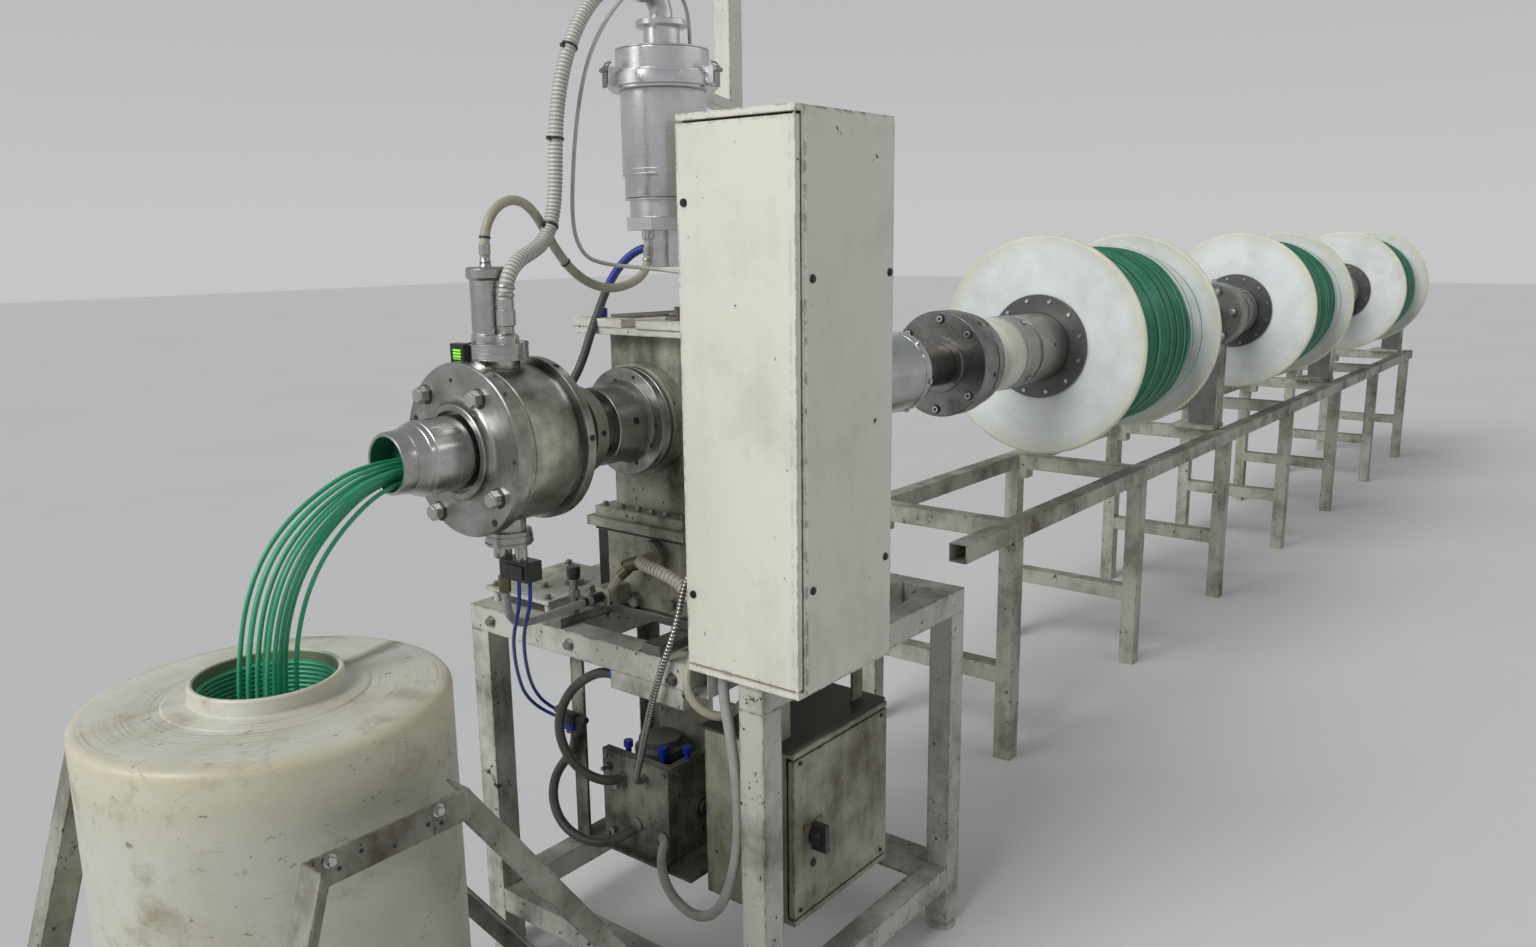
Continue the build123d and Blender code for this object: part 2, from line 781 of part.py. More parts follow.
# Reel stand
stand_far = stand_near + stand_width
stand_end = spindle_end + 40
stand_rail_bottom = stand_height - stand_tube
near_rail = square_tube(stand_start, stand_end, stand_near, stand_near + stand_tube,
                        stand_rail_bottom, stand_height, "X")
far_rail = square_tube(stand_start, stand_end, stand_far - stand_tube, stand_far,
                       stand_rail_bottom, stand_height, "X")
add("stand_rails", near_rail, far_rail)

bearing_places = [bearing_position + index * reel_pitch for index in range(reel_count)]
leg_places = [stand_leg_start]
for centre in bearing_places:
    leg_places.append((leg_places[-1] + centre - stand_tube / 2) / 2)
    leg_places.append(centre - stand_tube / 2)
trestles = []
cross_y0 = stand_near + stand_tube
cross_y1 = stand_far - stand_tube
for x0 in leg_places:
    x1 = x0 + stand_tube
    trestle = square_tube(x0, x1, cross_y0, cross_y1, stand_low_rail - stand_tube,
                          stand_low_rail, "Y")
    for y0 in (stand_near, cross_y1):
        trestle = trestle + square_tube(x0, x1, y0, y0 + stand_tube, 0,
                                        stand_rail_bottom, "Z")
    top_beam = square_tube(x0, x1, cross_y0, cross_y1, stand_rail_bottom, stand_height, "Y")
    for y0, y1 in ((cross_y0, cross_y0 + leg_ear), (cross_y1 - leg_ear, cross_y1)):
        top_beam = top_beam + block(x0, x1, y0, y1, stand_rail_bottom - leg_ear,
                                    stand_rail_bottom)
    trestles.append(trestle + top_beam)
add("stand_trestles", *trestles)

bearings = []
for centre in bearing_places:
    x0 = centre - bearing_width / 2
    x1 = centre + bearing_width / 2
    base_y0 = cross_y0 + 3
    base = block(x0 - 20, x1 + 20, base_y0, base_y0 + bearing_foot_width, stand_height,
                 stand_height + bearing_foot_thickness)
    column = block(x0, x1, base_y0, -base_y0, stand_height, shaft_height)
    bearing = base + column + ring_x(bearing_radius, 0, x0, x1)
    bearings.append(bearing - ring_x(spindle_radius + running_gap, 0, x0 - 1, x1 + 1))
add("spindle_bearings", *bearings)

# Suction canister, its post and its arm
canister_bottom = shelf_height + canister_over_shelf
canister_ring_bottom = canister_bottom + canister_height
canister_ring_top = canister_ring_bottom + canister_ring_height
post_top = canister_ring_top + canister_below_post
canister_post = square_tube(post_x, post_x + post_side, post_y, post_y + post_side,
                            table_height, post_top, "Z")
body = turned_z([
    (0, canister_bottom), (78, canister_bottom), (78, canister_bottom + 65),
    (canister_radius - 4, canister_bottom + 68), (canister_radius - 4, canister_bottom + 108),
    (canister_radius, canister_bottom + 116), (canister_radius, canister_ring_bottom),
    (0, canister_ring_bottom),
], canister_x, 0)
flange = Pos(canister_x, 0, canister_bottom) * extrude(
    RegularPolygon(flange_width / 2, 8, major_radius=False, rotation=22.5), canister_flange)
nozzle_x = canister_x - nozzle_offset
nozzle_end = canister_bottom - nozzle_length
nozzle = turned_z([
    (0, canister_bottom), (port_hose / 2 + 3, canister_bottom),
    (port_hose / 2 + 3, canister_bottom - 18), (port_hose / 2, canister_bottom - 20),
    (port_hose / 2, nozzle_end), (0, nozzle_end),
], nozzle_x, 0)
valve = block(canister_x - 25, canister_x + 35, -26, 26, canister_bottom - 78,
              canister_bottom)
add("canister_body", body + flange + nozzle + valve)

ring = ring_z(canister_ring_radius - 6, 0, canister_ring_bottom, canister_ring_top,
              canister_x, 0)
ring = ring + ring_z(canister_ring_radius, 0, canister_ring_bottom + 6,
                     canister_ring_top - 6, canister_x, 0)
for index in range(3):
    turn = Pos(canister_x, 0, 0) * Rot(0, 0, lug_turn + 120 * index)
    lug = turn * Pos(canister_ring_radius + 2, 0, canister_ring_top - 12) * Box(26, 24, 34)
    ring = ring + lug
add("canister_ring", ring)
cap_top = canister_ring_top + cap_height
neck_top = cap_top + neck_height
cap = turned_z([
    (0, canister_ring_top), (99, canister_ring_top), (99, cap_top - 6), (94, cap_top),
    (38, cap_top), (38, neck_top - 16), (54, neck_top - 14), (54, neck_top - 2),
    (0, neck_top - 2),
], canister_x, 0)
bend_start = Plane(origin=(canister_x, 0, neck_top - 4), z_dir=(0, 0, 1))
bend_mark = (canister_x - elbow_bend, 0, neck_top + 6)
straight = extrude(bend_start * Circle(elbow_radius), 10)
arc_face = Plane(origin=(canister_x, 0, neck_top + 6), z_dir=(0, 0, 1)) * Circle(elbow_radius)
arc = revolve(arc_face, Axis(bend_mark, (0, -1, 0)), 90)
spout_x = canister_x - elbow_bend
spout_z = neck_top + 6 + elbow_bend
spout = Pos(spout_x - 10, 0, spout_z) * Rot(0, 90, 0) * Cylinder(elbow_radius + 4, 20)
hose_stub = Pos(spout_x - 28, 0, spout_z) * Rot(0, 90, 0) * Cylinder(suction_hose / 2, 16)
cap = cap + straight + arc + spout + hose_stub
sensor_cap = ring_z(7, 0, cap_top - 1, cap_top + 16, canister_x + 66, -20)
add("canister_cap", cap + sensor_cap)
reach_x = post_x + post_side / 2 - canister_x
reach_y = post_y + post_side / 2
reach = math.hypot(reach_x, reach_y)
arm_middle = (canister_ring_bottom + canister_ring_top) / 2
arm = Pos(canister_x, 0, arm_middle) * Rot(0, 0, math.degrees(math.atan2(reach_y, reach_x)))
arm = arm * Pos(reach / 2, 0, 0) * Box(reach, arm_width, arm_height)
arm = arm - ring_z(canister_ring_radius, 0, arm_middle - arm_height,
                   arm_middle + arm_height, canister_x, 0)
post_solid = block(post_x, post_x + post_side, post_y, post_y + post_side, table_height,
                   post_top)
add("canister_post", canister_post + (arm - post_solid))

# Receiving drum
drum = turned_z([
    (0, drum_bottom), (drum_radius - 10, drum_bottom), (drum_radius, drum_bottom + 10),
    (drum_radius, drum_top - 18), (drum_radius - 6, drum_top - 5),
    (drum_radius - 22, drum_top), (drum_collar_radius, drum_top + 6),
    (drum_collar_radius, drum_top + drum_collar_height),
    (drum_hole, drum_top + drum_collar_height), (drum_hole, drum_top - drum_wall),
    (drum_radius - drum_wall, drum_top - drum_wall - 4),
    (drum_radius - drum_wall, drum_bottom + drum_wall), (0, drum_bottom + drum_wall),
], drum_x, 0)
add("drum", drum)
coil_bore = drum_hole - fit_gap - coil_neck_width
neck_coil_top = drum_top + drum_collar_height - coil_neck_drop
add("drum_coil", turned_z([
    (0, drum_bottom + drum_wall), (coil_radius, drum_bottom + drum_wall),
    (coil_radius, coil_top), (drum_hole - fit_gap, coil_top),
    (drum_hole - fit_gap, neck_coil_top), (coil_bore, neck_coil_top), (coil_bore, heap_top),
    (0, heap_top),
], drum_x, 0))

# Drum stand: flat bars and angle legs beside the drum, channels under it
hoop_left = drum_x - hoop_before
hoop_right = drum_x + hoop_after
hoop_bottom = hoop_top - hoop_height
channels = []
for y0 in (-channel_spacing / 2 - channel_width / 2, channel_spacing / 2 - channel_width / 2):
    x0 = drum_x - channel_length / 2
    x1 = drum_x + channel_length / 2
    channel = block(x0, x1, y0, y0 + channel_width, 0, drum_bottom)
    channel = channel - block(x0 - 1, x1 + 1, y0 + channel_wall, y0 + channel_width -
                              channel_wall, -1, drum_bottom - channel_wall)
    channels.append(channel)
add("drum_channels", *channels)

def slanted_angle(foot_x, foot_y, top_x, top_y, top_z, turn_x, turn_y):
    """Angle bar that leans from a flat foot on the floor to its top."""
    outer_x = turn_x * leg_side
    outer_y = turn_y * leg_side
    inner_x = turn_x * bar_thickness
    inner_y = turn_y * bar_thickness
    section = make_face(Polyline(
        (foot_x, foot_y, 0), (foot_x + outer_x, foot_y, 0),
        (foot_x + outer_x, foot_y + inner_y, 0), (foot_x + inner_x, foot_y + inner_y, 0),
        (foot_x + inner_x, foot_y + outer_y, 0), (foot_x, foot_y + outer_y, 0), close=True))
    lean = Vector(top_x - foot_x, top_y - foot_y, top_z)
    return extrude(section, amount=lean.length, dir=lean)


sides = []
for side in (-1, 1):
    hoop_face = side * hoop_offset
    hoop_y0 = min(hoop_face, hoop_face + side * bar_thickness)
    hoop = block(hoop_left, hoop_right, hoop_y0, hoop_y0 + bar_thickness, hoop_bottom, hoop_top)
    leg = slanted_angle(hoop_left - leg_lean, hoop_face, hoop_left, hoop_face, hoop_top,
                        1, side)
    brace = slanted_angle(brace_foot, hoop_face, hoop_right, hoop_face, hoop_top, -1, -side)
    leg_face = side * (half_width - tube_side)
    spacer = block(2, 26, min(leg_face, hoop_face), max(leg_face, hoop_face), spacer_height,
                   2 * spacer_height)
    sides.append(hoop + leg + brace + spacer)
add("drum_stand", *sides)

# Strands from the guide plate to the heap in the drum.
# Each strand lies between an outer and an inner route in the spindle's plane.
outer_route = [(guide_face, 1372), (-470, 1372), (-512, 1371), (-556, 1364), (-599, 1347),
               (-642, 1324), (-680, 1296), (-713, 1262), (-738, 1222), (-757, 1176),
               (-770, 1124), (-779, 1068), (-784, 998), (-784, heap_top)]
inner_route = [(guide_face, 1337), (-462, 1337), (-496, 1331), (-529, 1319), (-560, 1300),
               (-590, 1277), (-618, 1251), (-643, 1221), (-664, 1186), (-680, 1148),
               (-692, 1106), (-699, 1058), (-703, 995), (-703, heap_top)]
strand_places = [(2, -12), (2, 12), (-8, -24), (-8, 0), (-8, 24), (-17, -12), (-17, 12),
                 (-25, 0), (-33, -14), (-33, 14)]


def cord_path(points):
    """Straight runs joined by arcs as large as the runs allow."""
    vectors = [Vector(*point) for point in points]
    radii = []
    for before, here, after in zip(vectors, vectors[1:], vectors[2:]):
        first = here - before
        second = after - here
        turn = math.radians(first.get_angle(second))
        shorter = min(first.length, second.length)
        radii.append(0.45 * shorter / math.tan(turn / 2))
    return FilletPolyline(*vectors, radius=radii), radii


def cord(name, points, diameter):
    """Tube of a free cord along its route."""
    path, radii = cord_path(points)
    section = Plane(origin=path @ 0, z_dir=path % 0) * Circle(diameter / 2)
    tube = sweep(section, path=path)
    area = math.pi * diameter ** 2 / 4
    share = tube.volume / (area * path.length)
    print(name, "length", round(path.length), "volume share", round(share, 4),
          "least radius", round(min(radii), 1), "in diameters",
          round(min(radii) / diameter, 1))
    return tube


strands = []
for number, (drop, side) in enumerate(strand_places):
    share = (2 - drop) / 35.0
    route = []
    for step, (outer, inner) in enumerate(zip(outer_route, inner_route)):
        along = outer[0] + (inner[0] - outer[0]) * share
        height = outer[1] + (inner[1] - outer[1]) * share
        across = side * (1.0 + 0.02 * min(step, 12))
        if step < 2:
            across = side
        route.append((along, across, height))
    strands.append(cord("strand " + str(number + 1), route, strand_diameter))
add("strands", *strands)
cord_names.append("strands")

# Hoses and cables that the line itself holds
add("suction_hose", cord("suction hose", [
    (elbow_x, elbow_y, fitting_top), (elbow_x, elbow_y, 1660), (-222, -35, 1694),
    (-192, -28, 1716), (-152, -18, 1729), (-116, -8, 1744), (-90, -2, 1772),
    (-75, 0, 1812), (-68, 0, 1866), (-64, 0, 1930), (-56, 0, 1996), (-40, 0, 2062),
    (-14, 0, 2124), (22, 0, 2182), (68, 0, 2228), (116, 0, spout_z),
    (spout_x - 36, 0, spout_z)], suction_hose))
add("port_hose", cord("port hose", [
    (port_x, cylinder_y, cylinder_top + nipple_length), (port_x, cylinder_y, 1752),
    (-220, 24, 1785), (-196, 25, 1813), (-160, 26, 1828), (-125, 27, 1822), (-96, 28, 1798),
    (-72, 28, 1763), (-45, 28, 1726), (-12, 26, 1690), (28, 20, 1663), (74, 12, 1650),
    (118, 6, 1654), (162, 2, 1670), (nozzle_x, 0, 1700), (nozzle_x, 0, nozzle_end)],
    port_hose))
add("sensor_cable", cord("sensor cable", [
    (canister_x + 66, -20, cap_top + 16), (canister_x + 66, -20, 2190), (294, -27, 2232),
    (255, -36, 2258), (208, -42, 2270), (160, -42, 2262), (122, -34, 2236),
    (92, -22, 2200), (66, -12, 2156), (42, -6, 2106), (22, -4, 2050), (6, -4, 1990),
    (-6, -4, 1926), (-14, -4, 1862), (-20, -4, 1800), (-17, -5, 1750), (2, -8, 1718),
    (36, -14, 1703), (76, -30, 1697), (112, -62, 1692), (138, -106, 1686),
    (152, -156, 1680), (156, -212, 1675), (156, cabinet_far, 1675)], sensor_cable))
add("air_hose", cord("air hose", [
    (262, 26, 1735), (262, 64, 1735), (250, 98, 1726), (226, 117, 1702),
    (194, 120, 1670), (162, 114, 1634), (132, 106, 1594), (103, 101, 1552),
    (80, 100, 1504), (55, 104, 1460), (20, 112, 1422), (-28, 121, 1396),
    (-84, 128, 1380), (rear_face, 128, 1380)], air_hose))
add("cabinet_hose", cord("cabinet hose", [
    (20, -327, cabinet_bottom), (20, -327, 850), (19, -343, 780), (15, -359, 700),
    (11, -368, 620), (10, -366, 545), (10, -350, 470), (13, -324, 402), (21, -284, 350),
    (32, -234, 322), (41, -180, 318), (47, -132, 340), (58, -100, 382), (88, -85, 430),
    (gear_left, -85, 430)], cabinet_hose))
add("metal_conduit", cord("metal conduit", [
    (60, cabinet_far, 1112), (60, -243, 1112), (52, -226, 1099), (38, -219, 1072),
    (22, -219, 1040), (7, -222, 1004), (-8, -220, 964), (-19, -208, 920),
    (-24, -190, 868), (-22, -168, 812), (-13, -143, 754), (3, -114, 698), (23, -84, 646),
    (42, -54, 600), (62, -30, 558), (pump_left - valve_length, -30, 558)],
    conduit_diameter))
add("upper_loop_hose", cord("upper loop hose", [
    (30, hanger_end, 822), (30, 22, 822), (26, 68, 802), (18, 112, 768), (10, 143, 722),
    (5, 156, 672), (6, 147, 622), (14, 120, 580), (30, 86, 554), (56, 42, 542),
    (pump_left - valve_length, 42, 542)], loop_hose))
add("lower_loop_hose", cord("lower loop hose", [
    (drive_left - 13, 158, tee_z), (57, 158, 604), (50, 182, 566), (38, 208, 526),
    (26, 212, 484), (17, 196, 444), (13, 162, 414), (15, 118, 400), (24, 74, 396),
    (44, 34, 402), (82, 8, 424), (130, -2, 440), (pump_left, -2, 440)], loop_hose))
add("drain_hose", cord("drain hose", [
    (port_x, drain_y, drain_end), (port_x, drain_y, 1046), (-217, 28, 1012), (-187, 36, 990),
    (-145, 45, 981), (-95, 51, 979), (-42, 54, 978), (10, drain_valve_y, drain_valve_z),
    (valve_face, drain_valve_y, drain_valve_z)], drain_hose))
tube_ends = [[(-240, -34, 0), (-240, -34, 1062), (-226, -2, 1012), (-198, 44, 962),
              (-160, 92, 908), (-120, 138, 856), (-78, 182, 802), (-34, 222, 746),
              (8, 242, 700), (40, 238, 670), (57, 210, 656), (57, 0, 656)],
             [(-226, -50, 0), (-226, -50, 1064), (-210, -16, 1016), (-182, 30, 968),
              (-146, 76, 916), (-106, 122, 864), (-64, 166, 810), (-20, 206, 756),
              (16, 224, 712), (42, 222, 686), (55, 198, 672), (55, 0, 672)]]
tubes = []
for number, route in enumerate(tube_ends):
    start = (route[0][0], route[0][1], bottom_ring_low - 66)
    finish = (route[-1][0], drive_far - 4, route[-1][2])
    tubes.append(cord("air tube " + str(number + 1), [start] + route[1:-1] + [finish],
                      air_tube))
add("air_tubes", *tubes)
add("lube_hose", cord("lube hose", [
    (boss_face, boss_y, block_top - boss_drop), (78, boss_y, block_top - boss_drop),
    (60, -68, 1077), (50, -96, 1076), (48, -132, 1072), (52, -168, 1061),
    (59, -200, 1039), (60, -226, 1007), (52, -242, 971), (34, -250, 940), (10, -254, 916),
    (-12, -258, 892), (-22, -268, 862), (-16, -284, 834), (2, -300, 814), (24, -312, 803),
    (48, -324, 806), (68, -340, 826), (76, -348, 860), (76, -348, cabinet_bottom)],
    port_hose))
cord_names += ["suction_hose", "port_hose", "sensor_cable", "air_hose", "cabinet_hose",
               "metal_conduit", "upper_loop_hose", "lower_loop_hose", "drain_hose",
               "air_tubes", "lube_hose"]

# Centre the footprint and write one file for each piece
os.makedirs("parts", exist_ok=True)
own = [Compound(children=[Compound(s.wrapped) for s in solids])
       for name, solids in nodes.items() if name not in cord_names]
boxes = [piece.bounding_box() for piece in own]
centre_x = (min(b.min.X for b in boxes) + max(b.max.X for b in boxes)) / 2
centre_y = (min(b.min.Y for b in boxes) + max(b.max.Y for b in boxes)) / 2
print("line frame moved by", round(-centre_x, 3), round(-centre_y, 3))
for name, solids in nodes.items():
    moved = [Pos(-centre_x, -centre_y, 0) * solid for solid in solids]
    whole = moved[0] if len(moved) == 1 else Compound(children=moved)
    export_step(whole, "parts/" + name + ".step")
print(len(nodes), "nodes")
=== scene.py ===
import json
import math
import bmesh
import bpy
from mathutils import Matrix, Vector, noise

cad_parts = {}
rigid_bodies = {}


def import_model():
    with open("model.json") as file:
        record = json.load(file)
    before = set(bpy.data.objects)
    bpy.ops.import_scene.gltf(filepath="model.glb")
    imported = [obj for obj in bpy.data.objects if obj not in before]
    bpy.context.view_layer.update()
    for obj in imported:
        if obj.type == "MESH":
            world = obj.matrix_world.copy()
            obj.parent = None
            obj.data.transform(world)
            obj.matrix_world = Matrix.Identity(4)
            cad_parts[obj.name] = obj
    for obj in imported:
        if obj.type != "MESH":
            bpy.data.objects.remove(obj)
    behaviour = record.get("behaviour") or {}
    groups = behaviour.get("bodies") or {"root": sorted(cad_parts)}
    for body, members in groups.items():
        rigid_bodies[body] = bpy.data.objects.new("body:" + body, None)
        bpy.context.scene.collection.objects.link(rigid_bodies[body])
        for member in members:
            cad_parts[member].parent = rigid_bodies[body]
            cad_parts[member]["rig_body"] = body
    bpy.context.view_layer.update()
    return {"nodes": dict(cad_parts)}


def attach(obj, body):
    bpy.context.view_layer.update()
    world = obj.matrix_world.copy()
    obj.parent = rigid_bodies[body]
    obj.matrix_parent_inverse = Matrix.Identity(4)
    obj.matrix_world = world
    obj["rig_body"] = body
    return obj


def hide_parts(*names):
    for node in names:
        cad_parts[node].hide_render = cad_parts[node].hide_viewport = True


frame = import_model()

# Camera, floor and light
# The line is seen from standing height beside its drum end, looking along it.
# The floor is plain and pale. A pale sky, two soft suns and a side panel light the line.
LINE_START = Vector((-3.731, 0.034, 0.0))
EYE = Vector((-1.640, -1.750, 1.750))
scene = bpy.context.scene
scene.view_settings.view_transform = "Standard"


def put(name, data):
    """Object of some data, linked to the scene."""
    piece = bpy.data.objects.new(name, data)
    scene.collection.objects.link(piece)
    return piece


turn, tilt, roll = (math.radians(angle) for angle in (38.131, 11.490, -0.657))
ahead = Vector((math.cos(turn) * math.cos(tilt), math.sin(turn) * math.cos(tilt),
                -math.sin(tilt)))
level_right = Vector((math.sin(turn), -math.cos(turn), 0.0))
level_up = level_right.cross(ahead)
right = level_right * math.cos(roll) + level_up * math.sin(roll)
up = level_up * math.cos(roll) - level_right * math.sin(roll)
camera_data = bpy.data.cameras.new("camera")
camera_data.sensor_width = 36.0
camera_data.lens = 27.16
camera_data.clip_end = 100.0
camera = put("camera", camera_data)
camera.matrix_world = (Matrix.Translation(LINE_START + EYE)
                       @ Matrix((right, up, -ahead)).transposed().to_4x4())
scene.camera = camera


class Value:
    """Output of a shader node, which takes part in sums like a number."""

    def __init__(self, socket):
        self.socket, self.tree = socket, socket.id_data

    def __getitem__(self, label):
        return Value(self.socket.node.outputs[label])

    def joined(self, operation, first, second):
        return shader(self.tree, "Math", {0: first, 1: second}, operation=operation)

    def __add__(self, other):
        return self.joined("ADD", self, other)

    def __sub__(self, other):
        return self.joined("SUBTRACT", self, other)

    def __rsub__(self, other):
        return self.joined("SUBTRACT", other, self)

    def __mul__(self, other):
        return self.joined("MULTIPLY", self, other)

    def __or__(self, other):
        return self.joined("MAXIMUM", self, other)

    def __abs__(self):
        return self.joined("ABSOLUTE", self, 0.0)


def feed(node, inputs):
    """Set inputs of a node to values and colours, or join them to other nodes' outputs."""
    for label, value in inputs.items():
        socket = node.inputs[label]
        if isinstance(value, Value):
            node.id_data.links.new(value.socket, socket)
        else:
            socket.default_value = (*value, 1.0) if socket.type == "RGBA" else value


def shader(tree, kind, inputs=(), **settings):
    """First output of one new shader node, with its inputs set or joined."""
    item = tree.nodes.new("ShaderNode" + kind)
    for label, value in settings.items():
        setattr(item, label, value)
    feed(item, dict(inputs))
    return Value(item.outputs[0])


def object_place(tree):
    """Object coordinates, in which all marks are laid."""
    return shader(tree, "TexCoord")["Object"]


def spread(value, low, high, to_low=0.0, to_high=1.0):
    """A value stretched from one range to another."""
    return shader(value.tree, "MapRange", {"Value": value, "From Min": low, "From Max": high,
                                           "To Min": to_low, "To Max": to_high})


def mix_colour(share, first, second):
    """The colour that lies between two others."""
    return shader(share.tree, "Mix", {0: share, 6: first, 7: second}, data_type="RGBA")[2]


def noise_value(place, scale, detail=3.0, rough=0.5, stretch=None):
    """A noise over the surface, stretched where its marks run one way."""
    if stretch is not None:
        place = shader(place.tree, "Mapping", {"Vector": place, "Scale": stretch})
    return shader(place.tree, "TexNoise", {"Vector": place, "Scale": scale, "Detail": detail,
                                           "Roughness": rough})


def blank_material(name):
    """Material with its node tree and its surface shader."""
    material = bpy.data.materials.new(name)
    material.use_nodes = True
    return material, material.node_tree, material.node_tree.nodes["Principled BSDF"]


floor_paint, floor_tree, floor_surface = blank_material("pale_floor")
floor_cloud = noise_value(object_place(floor_tree), 0.7, 4.0)
feed(floor_surface, {"Base Color": spread(floor_cloud, 0.0, 1.0, 0.70, 0.76),
                     "Roughness": 0.75})
floor_mesh = bpy.data.meshes.new("floor")
floor_bm = bmesh.new()
bmesh.ops.create_grid(floor_bm, x_segments=1, y_segments=1, size=40.0)
floor_bm.to_mesh(floor_mesh)
floor_bm.free()
floor_mesh.materials.append(floor_paint)
floor = put("floor", floor_mesh)

world = bpy.data.worlds.new("soft_sky")
world.use_nodes = True
scene.world = world
sky_tree = world.node_tree
sky_tree.nodes.clear()
sky_height = shader(sky_tree, "SeparateXYZ", {
    "Vector": shader(sky_tree, "TexCoord")["Generated"]})["Z"]
sky_shade = mix_colour(spread(sky_height, 0.0, 0.55), (0.56, 0.565, 0.57), (0.36, 0.37, 0.38))
seen_sky = shader(sky_tree, "Background", {"Color": sky_shade, "Strength": 1.0})
lit_sky = shader(sky_tree, "Background", {"Color": (0.95, 0.97, 1.0), "Strength": 0.25})
ray = shader(sky_tree, "LightPath")
ray_seen = ray["Is Camera Ray"] | ray["Is Glossy Ray"] | ray["Is Transmission Ray"]
feed(sky_tree.nodes.new("ShaderNodeOutputWorld"), {
    "Surface": shader(sky_tree, "MixShader", {0: ray_seen, 1: lit_sky, 2: seen_sky})})


def add_lamp(name, kind, energy, spot, aim, **settings):
    """Lamp at a spot of the line, turned towards the point it lights."""
    data = bpy.data.lights.new(name, kind)
    data.energy = energy
    for label, value in settings.items():
        setattr(data, label, value)
    heading = (Vector(aim) - Vector(spot)).to_track_quat("-Z", "Y")
    put(name, data).matrix_world = (Matrix.Translation(LINE_START + Vector(spot))
                                    @ heading.to_matrix().to_4x4())


add_lamp("soft_sun", "SUN", 1.75, (-4.2, 0.3, 4.2), (0.0, 0.0, 0.9), angle=0.5)
add_lamp("end_sun", "SUN", 0.5, (-2.8, 1.5, 2.6), (0.0, 0.0, 1.3), angle=0.5)
add_lamp("side_panel", "AREA", 12.0, (2.2, -2.6, 3.2), (1.6, 0.0, 1.3), shape="RECTANGLE",
         size=3.2, size_y=0.35)

# Head table
# Welded frame of 60 mm square steel tube on four feet, brushed with off-white enamel.
# Years of use have chipped the edges down to dark steel and left greasy runs.
SHAFT = 1.37  # height of the spindle's axis
SAME_PLACE = 1e-5  # points this close are one


def new_group(name, inputs, outputs):
    """Node group with its named inputs and outputs, and the nodes at its two ends."""
    group = bpy.data.node_groups.new(name, "ShaderNodeTree")
    for label, value in inputs.items():
        size = 1 if isinstance(value, float) else len(value)
        socket = group.interface.new_socket(
            label, in_out="INPUT",
            socket_type="NodeSocket" + {1: "Float", 3: "Vector", 4: "Color"}[size])
        socket.default_value = value
    for label in outputs:
        kind = "Color" if label == "Base Color" else "Float"
        group.interface.new_socket(label, in_out="OUTPUT", socket_type="NodeSocket" + kind)
    return (group, Value(group.nodes.new("NodeGroupInput").outputs[0]),
            group.nodes.new("NodeGroupOutput"))


def vector_maths(operation, first, second=None):
    """Result of two places or ways, or the length of one."""
    inputs = {0: first} if second is None else {0: first, 1: second}
    result = shader(first.tree, "VectorMath", inputs, operation=operation)
    return result["Value"] if operation in ("DOT_PRODUCT", "LENGTH") else result


paint_wear, given, result = new_group("paint_wear", {
    "Paint": (0.75, 0.74, 0.66, 1.0), "Grime": (0.24, 0.21, 0.15, 1.0),
    "Bare": (0.040, 0.034, 0.028, 1.0), "Grime Amount": 0.5, "Coverage": 0.0,
    "Chip Amount": 0.5, "Gloss": 0.38}, ["Base Color", "Roughness", "Metallic", "Height"])
spot = object_place(paint_wear)
patches = noise_value(spot, 4.5, 8.0, 0.66)
runs = noise_value(spot, 1.0, 5.0, 0.6, (26.0, 26.0, 3.0))
smear = patches * 0.78 + runs * 0.22 + given["Coverage"]
dirt = spread(smear, 0.47, 0.70) * given["Grime Amount"]
haze = spread(patches, 0.25, 0.75, 0.0, 0.22) * given["Grime Amount"]
soft_normal = shader(paint_wear, "Bevel", {"Radius": 0.008}, samples=4)
hard_normal = shader(paint_wear, "NewGeometry")["Normal"]
edge = spread(vector_maths("DOT_PRODUCT", soft_normal, hard_normal), 0.992, 0.88)
edge_chip = spread(edge * noise_value(spot, 38.0, 6.0, 0.7), 0.50, 0.54) * given["Chip Amount"]
fewer = (1.0 - given["Chip Amount"]) * 0.15
lone_chip = spread(noise_value(spot, 17.0, 9.0, 0.72) - fewer, 0.645, 0.66)
fleck = spread(noise_value(spot, 55.0, 5.0, 0.62) - fewer, 0.650, 0.665)
chips = edge_chip | lone_chip | fleck
edge_dirt = edge * 0.35 * given["Grime Amount"]
upward = shader(paint_wear, "SeparateXYZ", {"Vector": hard_normal})["Z"]
settled = (spread(upward, 0.7, 0.95, 0.0, 0.75)
           * (spread(patches, 0.36, 0.56, 0.15, 1.0) * given["Grime Amount"]))
soiled_share = (dirt | haze) | (edge_dirt | settled)
coat = mix_colour(soiled_share, given["Paint"], given["Grime"])
feed(result, {"Base Color": mix_colour(chips, coat, given["Bare"]),
              "Roughness": given["Gloss"] + soiled_share * 0.35, "Metallic": chips * 0.35,
              "Height": noise_value(spot, 90.0, 2.0) * 0.10 - chips * 0.6})


def finish_material(name, group, values, bump, depth, surface=()):
    """Material whose look comes from one of the wear groups."""
    material, tree, surface_node = blank_material(name)
    effect = tree.nodes.new("ShaderNodeGroup")
    effect.node_tree = group
    feed(effect, values)
    for output in effect.outputs:
        if output.name in surface_node.inputs:
            tree.links.new(output, surface_node.inputs[output.name])
    relief = shader(tree, "Bump", {"Height": Value(effect.outputs["Height"]),
                                   "Strength": bump, "Distance": depth})
    feed(surface_node, {"Normal": relief, **dict(surface)})
    return material


